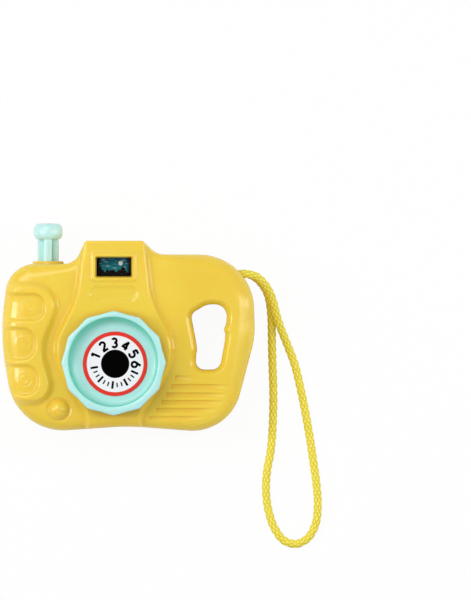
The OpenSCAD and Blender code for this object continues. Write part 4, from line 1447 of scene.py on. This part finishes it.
    def front(self, studio: Studio) -> None:
        """Makes the front half: body, cavity, hole, window, bore, grooves and posts.

        Args:
            studio: Dresses the piece.
        """
        corners = self.corners(self.side_round)
        piece = self.hollow_half("front", corners, self.face, self.columns, self.face_rows, self.relief)
        room = rounded_outline(mirrored(self.room_side), 200)
        carve(piece, make_mesh("panel_room", [stack_outline(room.points, [(0, z) for z in self.room_z])]))
        hole = self.hole()
        cuts = [stack_outline(hole.points, self.front_lip, hole.normals), self.opening()]
        carve(piece, make_mesh("front_openings", cuts + self.ways() + self.grooves()))
        posts = [self.tube(place, *self.screw_tube) for place in self.screw_places]
        posts.append(self.tube(self.wheel_place, *self.wheel_tube))
        posts.append(self.tube(self.leaf_place, *self.leaf_tube))
        join(piece, make_mesh("front_posts", posts))
        studio.dress(piece, YELLOW, Carrier.CAMERA, ("front_shell",), self.crease_deg)

    def rear(self, studio: Studio) -> None:
        """Makes the rear half: body, cavity, hole, eyepiece, screw holes, posts and spring seat.

        Args:
            studio: Dresses the piece.
        """
        piece = self.hollow_half("rear", self.corners(self.back_round), 0.0, self.back_columns,
                                 self.back_rows)
        hole = self.hole()
        cuts = [stack_outline(hole.points, self.rear_lip, hole.normals),
                revolve(self.eyepiece_cut, 96, (0, self.picture_y))]
        cuts += [revolve(self.screw_cut, 48, place) for place in self.screw_places]
        carve(piece, make_mesh("rear_openings", cuts + self.ways()))
        grids = [revolve(self.rear_post, 48, place) for place in self.screw_places]
        grids.append(revolve(self.eyepiece_tube, 96, (0, self.picture_y)))
        low, high = self.seat_y
        seat = rounded_outline(rectangle(self.button_x - self.seat_half_w, low,
                                         self.button_x + self.seat_half_w, high, self.seat_round), 48)
        grids.append(stack_outline(seat.points, [(0, z) for z in self.seat_z]))
        grids.append(revolve(self.spring_pin, 40, (self.button_x, self.parting), True))
        join(piece, make_mesh("rear_posts", grids))
        studio.dress(piece, YELLOW, Carrier.CAMERA, ("rear_shell",), self.crease_deg)

    def collar(self, studio: Studio) -> None:
        """Makes the low collar round the plunger, a ring with a rounded rim."""
        ring = revolve(self.collar_ring, 96, (self.button_x, self.parting), True)
        studio.dress(make_mesh("plunger_collar", [ring]), YELLOW, Carrier.CAMERA)

    def build(self, studio: Studio) -> None:
        """Makes both halves and the collar, and paints the screws.

        Args:
            studio: Dresses the pieces.
        """
        self.front(studio)
        self.rear(studio)
        self.collar(studio)
        studio.repaint("shell_screws", STEEL)


@dataclass
class Lens:
    """The twelve-sided dish on the front and its round label with numbers and ticks."""

    corner_r: float = 22.8
    sides: int = 12
    middle_r: float = 21.95
    # Power of the way from a side's middle to its corner
    hollow: float = 1.5
    columns: int = 480
    crease_deg: float = 50.0
    floor: float = 33.4
    label_r: float = 14.1
    label_t: float = 0.2
    label_round: float = 0.06
    ink_t: float = 0.05
    # How far the ink's strokes reach into the paper
    ink_sink: float = 0.03
    numeral_angles: tuple[float, ...] = (157, 124, 92, 60, 29, -2)
    numeral_place_r: float = 9.15
    numeral_h: float = 3.8
    numeral_w: float = 1.02
    # First and last angle of the ticks, and the step
    tick_angles: Triple = (190, 340, 12.2)
    # Every third tick is long: inner radius, outer radius and width of both kinds
    long_tick: Triple = (7.6, 10.9, 0.95)
    short_tick: Triple = (8.3, 10.2, 0.6)
    # From the back over the rim to the dish's middle: share of the outer edge's radius, radius added to
    # it, height, lean and depth of the shade painted on the wall
    dish_rows: tuple[tuple[float, ...], ...] = (
        (0, 0, 31.6, 0, 0), (0.9, 0, 31.6, 0, 0), (1, -0.1, 31.6, 0, 0), (1, 0, 32.0, 0, 0),
        (1, 0, 38.7, 0, 0), (1, -0.12, 39.3, 0, 0), (1, -0.4, 39.8, 0, 0), (1, -0.8, 39.98, 0, 0),
        (0.25, 15.0, 40.0, -0.6, 0), (0, 19.9, 39.96, -1.2, 0.05), (0, 19.7, 39.8, -1.15, 0.4),
        (0, 19.55, 39.4, -1.05, 0.85), (0, 19.3, 37.6, -0.75, 0.95), (0, 19.05, 36.2, -0.45, 0.9),
        (0, 18.7, 35.2, 0, 0.72), (0, 18.3, 34.5, 0.45, 0.5), (0, 17.85, 34.0, 0.8, 0.3),
        (0, 17.4, 33.7, 1, 0.16), (0, 16.9, 33.5, 1, 0.06), (0, 16.2, 33.42, 1, 0),
        (0, 15.4, 33.4, 1, 0), (0, 9, 33.4, 1, 0), (0, 0, 33.4, 1, 0))

    def edge(self, angle: Array) -> Array:
        """Radius of the twelve-sided edge at an angle.

        It falls from the corner's radius to the side's middle with a power of the way between
        them, which leaves the corners slightly pointed and the sides slightly hollow.

        Args:
            angle: Angles in radians.
        Returns:
            One radius for each angle.
        """
        step = 2 * np.pi / self.sides
        way = np.abs((angle - np.pi / 2) % step - step / 2) / (step / 2)
        return self.middle_r + (self.corner_r - self.middle_r) * way ** self.hollow

    def ring(self, studio: Studio) -> None:
        """Makes the dish: each row is a share of the outer edge plus a plain radius, at a height.

        A row with a lean above zero moves towards the label's place and one below zero towards the
        rim's. The last column of the rows goes into the mesh as the depth of the painted shade.

        Args:
            studio: Dresses the piece.
        """
        angle = np.linspace(0, 2 * np.pi, self.columns + 1)
        share, added, height, lean, depth = np.array(self.dish_rows).T[..., None]
        radius = share * self.edge(angle) + added
        shift = np.maximum(lean, 0) * LABEL_PLACE + np.maximum(-lean, 0) * RIM_PLACE
        grid = np.stack([radius * np.cos(angle) + shift[:, :1], radius * np.sin(angle) + shift[:, 1:],
                         np.broadcast_to(height, radius.shape)], -1)
        # The layer paints shade on the dish's wall, deepest near the top of the wall
        piece = make_mesh("lens_dish", [grid], (PAINTED_SHADE_LAYER, np.broadcast_to(depth, radius.shape)))
        studio.dress(piece, MINT, Carrier.CAMERA, ("lens_ring",), self.crease_deg)

    def label(self, studio: Studio) -> None:
        """Makes the label's disc with a rounded rim.

        Args:
            studio: Dresses the piece.
        """
        top = self.floor + self.label_t
        disc = [(0, self.floor), (self.label_r, self.floor), (self.label_r, top - self.label_round),
                (self.label_r - self.label_round, top), (0, top)]
        piece = make_mesh("label_disc", [revolve(disc, 160, LABEL_PLACE)])
        studio.dress(piece, LABEL, Carrier.CAMERA, ("lens_label",))

    def arc(self, centre: Pair, radius: float, start: float, stop: float) -> Array:
        """Points on a circle from one angle in degrees to another."""
        angle = np.radians(np.linspace(start, stop, ARC_POINTS))
        return np.array(centre) + radius * np.stack([np.cos(angle), np.sin(angle)], -1)

    def numerals(self) -> list[list[Array]]:
        """Strokes of the numbers one to six, one unit high about their middle.

        Returns:
            The strokes of each number.
        """
        line = np.array
        one = [line([(-0.21, 0.3), (0.06, 0.5)]), line([(0.06, 0.54), (0.06, -0.5)])]
        two = [np.vstack([self.arc((0, 0.22), 0.28, 165, -38), [(-0.27, -0.46)]]),
               line([(-0.36, -0.5), (0.32, -0.5)])]
        three = [self.arc((0, 0.25), 0.25, 155, -95), self.arc((0, -0.23), 0.27, 95, -155)]
        four = [line([(0.14, -0.5), (0.14, 0.54)]), line([(0.14, 0.5), (-0.3, -0.2)]),
                line([(-0.38, -0.22), (0.34, -0.22)])]
        five = [line([(0.28, 0.48), (-0.25, 0.48)]), line([(-0.2, 0.5), (-0.23, 0.02)]),
                self.arc((0, -0.19), 0.31, 130, -145)]
        six = [line([(0.12, 0.52), (-0.27, -0.06)]), self.arc((0, -0.2), 0.3, 0, 360)]
        return [one, two, three, four, five, six]

    def stroke(self, path: Array, wide: float) -> Array:
        """A flat band of ink along a path: a rectangle carried along it, closed at both ends.

        Args:
            path: Points in x and y.
            wide: The band's width.
        Returns:
            The grid of points.
        """
        ahead = np.gradient(path, axis=0)
        ahead /= np.linalg.norm(ahead, axis=1, keepdims=True)
        side = np.stack([-ahead[:, 1], ahead[:, 0]], -1) * wide / 2
        paper = self.floor + self.label_t
        low, high = paper - self.ink_sink, paper + self.ink_t
        corners = [(1, low), (1, high), (-1, high), (-1, low), (1, low)]
        band = np.stack([np.column_stack([path + sign * side, np.full(len(path), z)])
                         for sign, z in corners], 1)
        ends = [np.broadcast_to(band[k, :-1].mean(axis=0), band[:1].shape) for k in (0, -1)]
        return np.concatenate([ends[0], band, ends[1]])

    def marks(self, studio: Studio) -> None:
        """Makes the label's print: the numbers of the six pictures above, a scale of ticks below.

        Args:
            studio: Dresses the piece.
        """
        bands = []
        for strokes, angle in zip(self.numerals(), self.numeral_angles):
            turn = math.radians(angle - 90)
            spin = np.array([[math.cos(turn), math.sin(turn)], [-math.sin(turn), math.cos(turn)]])
            middle = np.array([0, self.numeral_place_r]) @ spin + LABEL_PLACE
            bands += [self.stroke(path * self.numeral_h @ spin + middle, self.numeral_w) for path in strokes]
        for number, angle in enumerate(np.radians(np.arange(*self.tick_angles))):
            near, out, wide = self.short_tick if number % 3 else self.long_tick
            ray = np.array([math.cos(angle), math.sin(angle)])
            bands.append(self.stroke(np.array([near * ray, out * ray]) + LABEL_PLACE, wide))
        studio.dress(make_mesh("label_print", bands), INK, Carrier.CAMERA)

    def build(self, studio: Studio) -> None:
        """Makes the dish, the label and its print.

        Args:
            studio: Dresses the pieces.
        """
        self.ring(studio)
        self.label(studio)
        self.marks(studio)


@dataclass
class Viewer:
    """The picture wheel, its film, the window pane and the eyepiece, which keep their CAD shapes."""

    plain: tuple[str, ...] = ("picture_wheel", "eyepiece_ring", "click_spring")
    metal: tuple[str, ...] = ("wheel_washer", "wheel_screw", "click_screw")

    def build(self, studio: Studio) -> None:
        """Paints each node.

        Args:
            studio: Makes the materials.
        """
        for node in self.plain:
            studio.repaint(node, WHITE_POM)
        for node in self.metal:
            studio.repaint(node, STEEL)
        studio.repaint("picture_film", FILM)
        studio.repaint("front_window", PANE)
        studio.repaint("eyepiece_lens", MAGNIFIER)


@dataclass
class Shutter:
    """The plunger with its cap and cross-shaped stem, its return spring and the pawl."""

    x: float = -28.9
    z: float = 15.0
    cap_low: float = 54.1
    foot: float = 27.9
    foot_r: float = 4.5
    foot_t: float = 2.0
    stem_r: float = 4.6
    rib: float = 3.2
    crease_deg: float = 35.0
    # The cap as radius and height over its underside
    cap: tuple[Pair, ...] = ((0, 0), (4.8, 0), (5.2, 0.12), (5.6, 0.55), (6.08, 1.3), (6.26, 2.0),
                             (6.3, 2.8), (6.27, 4.3), (6.1, 5.3), (5.75, 6.05), (5.1, 6.55), (4.3, 6.8),
                             (2.5, 6.95), (0, 7.0))
    # The flange that stops the plunger under the collar, as radius and height
    flange: tuple[Pair, ...] = ((0, 39.05), (6.2, 39.05), (6.2, 41.05), (0, 41.05))
    # The spigot inside the spring, up to just above the foot's underside
    spigot: tuple[Pair, ...] = ((0, 25.3), (1.9, 25.3), (2.3, 25.7), (2.3, 28.1), (0, 28.1))
    # The pawl's block: half width, low side, high side, rounding and front
    block_half_w: float = 3.0
    block_y: Pair = (30.5, 37.3)
    block_round: float = 0.4
    block_front: float = 21.42
    spring_r: float = 3.2
    wire: float = 0.9
    turns: int = 8
    turn_points: int = 40
    wire_columns: int = 14
    spring_crease_deg: float = 60.0
    # Gap of the spring's end turns to the seat and to the foot
    spring_gap: float = 0.1
    seat: float = 8.9
    travel: float = 9.4

    def stem(self) -> Array:
        """The stem: a cross whose radius is the farther of its two ribs' sides, within a circle.

        Returns:
            The grid of points.
        """
        angle = np.linspace(0, 2 * np.pi, 289)
        half = self.rib / 2
        upright = half / np.maximum(np.abs(np.sin(angle)), 1e-6)
        level = half / np.maximum(np.abs(np.cos(angle)), 1e-6)
        radius = np.minimum(np.maximum(upright, level), self.stem_r)
        cross = np.stack([self.x + radius * np.cos(angle), self.z + radius * np.sin(angle)], -1)
        return stack_outline(cross, [(0, self.foot), (0, self.cap_low + 0.4)], None, True)

    def plunger(self, studio: Studio) -> None:
        """Makes the cap, stem, flange, foot, spigot and the block of the pawl as one piece.

        Args:
            studio: Dresses the piece.
        """
        cap = [(radius, self.cap_low + height) for radius, height in self.cap]
        top = self.foot + self.foot_t
        foot = [(0, self.foot), (self.foot_r, self.foot), (self.foot_r, top), (0, top)]
        turned = ((cap, 96), (self.flange, 64), (foot, 64), (self.spigot, 48))
        grids = [revolve(profile, columns, (self.x, self.z), True) for profile, columns in turned]
        grids.append(self.stem())
        low, high = self.block_y
        block = rounded_outline(rectangle(self.x - self.block_half_w, low, self.x + self.block_half_w, high,
                                          self.block_round), 48)
        grids.append(stack_outline(block.points, [(0, self.z), (0, self.block_front)]))
        piece = make_mesh("plunger", grids)
        studio.dress(piece, MINT_PAINTED_LIGHTER, Carrier.SHUTTER, ("shutter_button",), self.crease_deg)

    def spring(self, studio: Studio) -> None:
        """Makes the spring: a helix between seat and foot.

        Args:
            studio: Dresses the piece.
        """
        turn = np.linspace(0, 2 * np.pi * self.turns, self.turns * self.turn_points + 1)
        height = self.foot - self.seat
        low = self.seat + self.wire / 2 + self.spring_gap
        rise = height - self.wire - 2 * self.spring_gap
        path = np.stack([self.x + self.spring_r * np.cos(turn), low + rise * turn / turn[-1],
                         self.z + self.spring_r * np.sin(turn)], -1)
        piece = make_mesh("spring_coil", [sweep(path, self.wire / 2, self.wire_columns, (0, 1, 0))])
        studio.dress(piece, STEEL, Carrier.CAMERA, ("return_spring",), self.spring_crease_deg)
        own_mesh(piece)

    def build(self, studio: Studio) -> None:
        """Makes the plunger and the spring, and paints the pawl and its screw.

        Args:
            studio: Dresses the pieces.
        """
        self.plunger(studio)
        self.spring(studio)
        studio.repaint("drive_pawl", WHITE_POM)
        studio.repaint("pawl_screw", STEEL)


@dataclass(frozen=True)
class Lamp:
    """A rectangular soft lamp: its place and size in millimetres and its power in watts."""

    name: str
    place: Triple
    size: Pair
    power: float


@dataclass
class Stage:
    """Floor, lamps and the camera that looks straight down at the lens side."""

    centre: Pair = (53.1, 27.5)
    frame_height: float = 262.4
    distance: float = 5000.0
    level: float = 20.0
    sensor: float = 36.0
    # The lamps are turned towards this point
    aim: Triple = (5.0, 10.0, 20.0)
    floor_half: float = 4000.0
    floor_drop: float = 0.2
    # Share of the floor's white that the camera sees as light of its own
    floor_glow: float = 0.95
    sky_strength: float = 0.42
    # A key at the upper left, strips at the left and right, a weak one below
    lamps: tuple[Lamp, ...] = (
        Lamp("key", (-330, 380, 860), (520, 520), 3.05),
        Lamp("left", (-640, 60, 560), (70, 480), 2.0),
        Lamp("right", (620, 90, 420), (150, 900), 1.9),
        Lamp("low", (240, -560, 520), (420, 160), 0.15))

    def camera(self) -> None:
        """Sets the camera: its lens is the sensor's size times the distance over the frame's height."""
        lens = bpy.data.cameras.new("view")
        lens.sensor_fit = "VERTICAL"
        lens.sensor_height = self.sensor
        lens.lens = self.sensor * self.distance / self.frame_height
        lens.clip_end = 20.0
        camera = bpy.data.objects.new("view", lens)
        camera.location = (self.centre[0] * MM, self.centre[1] * MM, (self.level + self.distance) * MM)
        bpy.context.scene.collection.objects.link(camera)
        bpy.context.scene.camera = camera

    def lamp(self, plan: Lamp) -> None:
        """Adds a lamp and turns it towards the aim: tilted from straight down, then turned about Z.

        Args:
            plan: The lamp.
        """
        light = bpy.data.lights.new(plan.name, "AREA")
        light.shape = "RECTANGLE"
        light.size = plan.size[0] * MM
        light.size_y = plan.size[1] * MM
        light.energy = plan.power
        lamp = bpy.data.objects.new(plan.name, light)
        spot = np.array(plan.place) * MM
        lamp.location = spot
        aim = np.array(self.aim) * MM - spot
        tilt = math.atan2(math.hypot(aim[0], aim[1]), -aim[2])
        lamp.rotation_euler = (tilt, 0, math.atan2(aim[1], aim[0]) - math.pi / 2)
        bpy.context.scene.collection.objects.link(lamp)

    def floor(self) -> None:
        """Makes the pale floor: matt, and mostly lit of itself for the camera, so shadows stay faint."""
        corner = np.array([(-1, -1, 0), (1, -1, 0), (1, 1, 0), (-1, 1, 0)], float) * self.floor_half
        mesh = bpy.data.meshes.new("floor")
        mesh.from_pydata(((corner - np.array([0, 0, self.floor_drop])) * MM).tolist(), [], [(0, 1, 2, 3)])
        floor = bpy.data.objects.new("floor", mesh)
        bpy.context.scene.collection.objects.link(floor)
        material, tree, shader = new_material("pale_floor")
        shader.inputs["Base Color"].default_value = linear("#F4F4F2")
        shader.inputs["Roughness"].default_value = 0.9
        shader.inputs["Specular IOR Level"].default_value = 0.1
        path = add_node(tree, "ShaderNodeLightPath")
        seen = add_node(tree, "ShaderNodeMath", {"operation": "MAXIMUM"},
                        {0: path.outputs["Is Camera Ray"], 1: path.outputs["Is Transmission Ray"]})
        share = add_node(tree, "ShaderNodeMath", {"operation": "MULTIPLY"},
                         {0: seen.outputs[0], 1: self.floor_glow})
        glow = add_node(tree, "ShaderNodeEmission", None, {"Color": (1, 1, 1, 1), "Strength": 1.0})
        both = add_node(tree, "ShaderNodeMixShader", None,
                        {0: share.outputs[0], 1: shader.outputs[0], 2: glow.outputs[0]})
        tree.links.new(both.outputs[0], tree.nodes["Material Output"].inputs["Surface"])
        mesh.materials.append(material)

    def light(self) -> None:
        """Sets the white sky and the lamps."""
        world = bpy.data.worlds.new("studio")
        world.use_nodes = True
        sky = world.node_tree.nodes["Background"]
        sky.inputs["Color"].default_value = linear("#FFFFFF")
        sky.inputs["Strength"].default_value = self.sky_strength
        bpy.context.scene.world = world
        for plan in self.lamps:
            self.lamp(plan)

    def build(self) -> None:
        """Sets camera, floor and light."""
        self.camera()
        self.floor()
        self.light()
        bpy.context.scene.view_settings.view_transform = "Standard"


def main() -> None:
    """Builds the pieces in order."""
    logging.basicConfig(level=logging.INFO, format="%(name)s %(message)s")
    studio = Studio()
    Stage().build()
    for assembly in (WristStrap(), Shells(), Lens(), Viewer(), Shutter()):
        assembly.build(studio)
    bpy.context.view_layer.update()


if __name__ == "__main__":
    main()
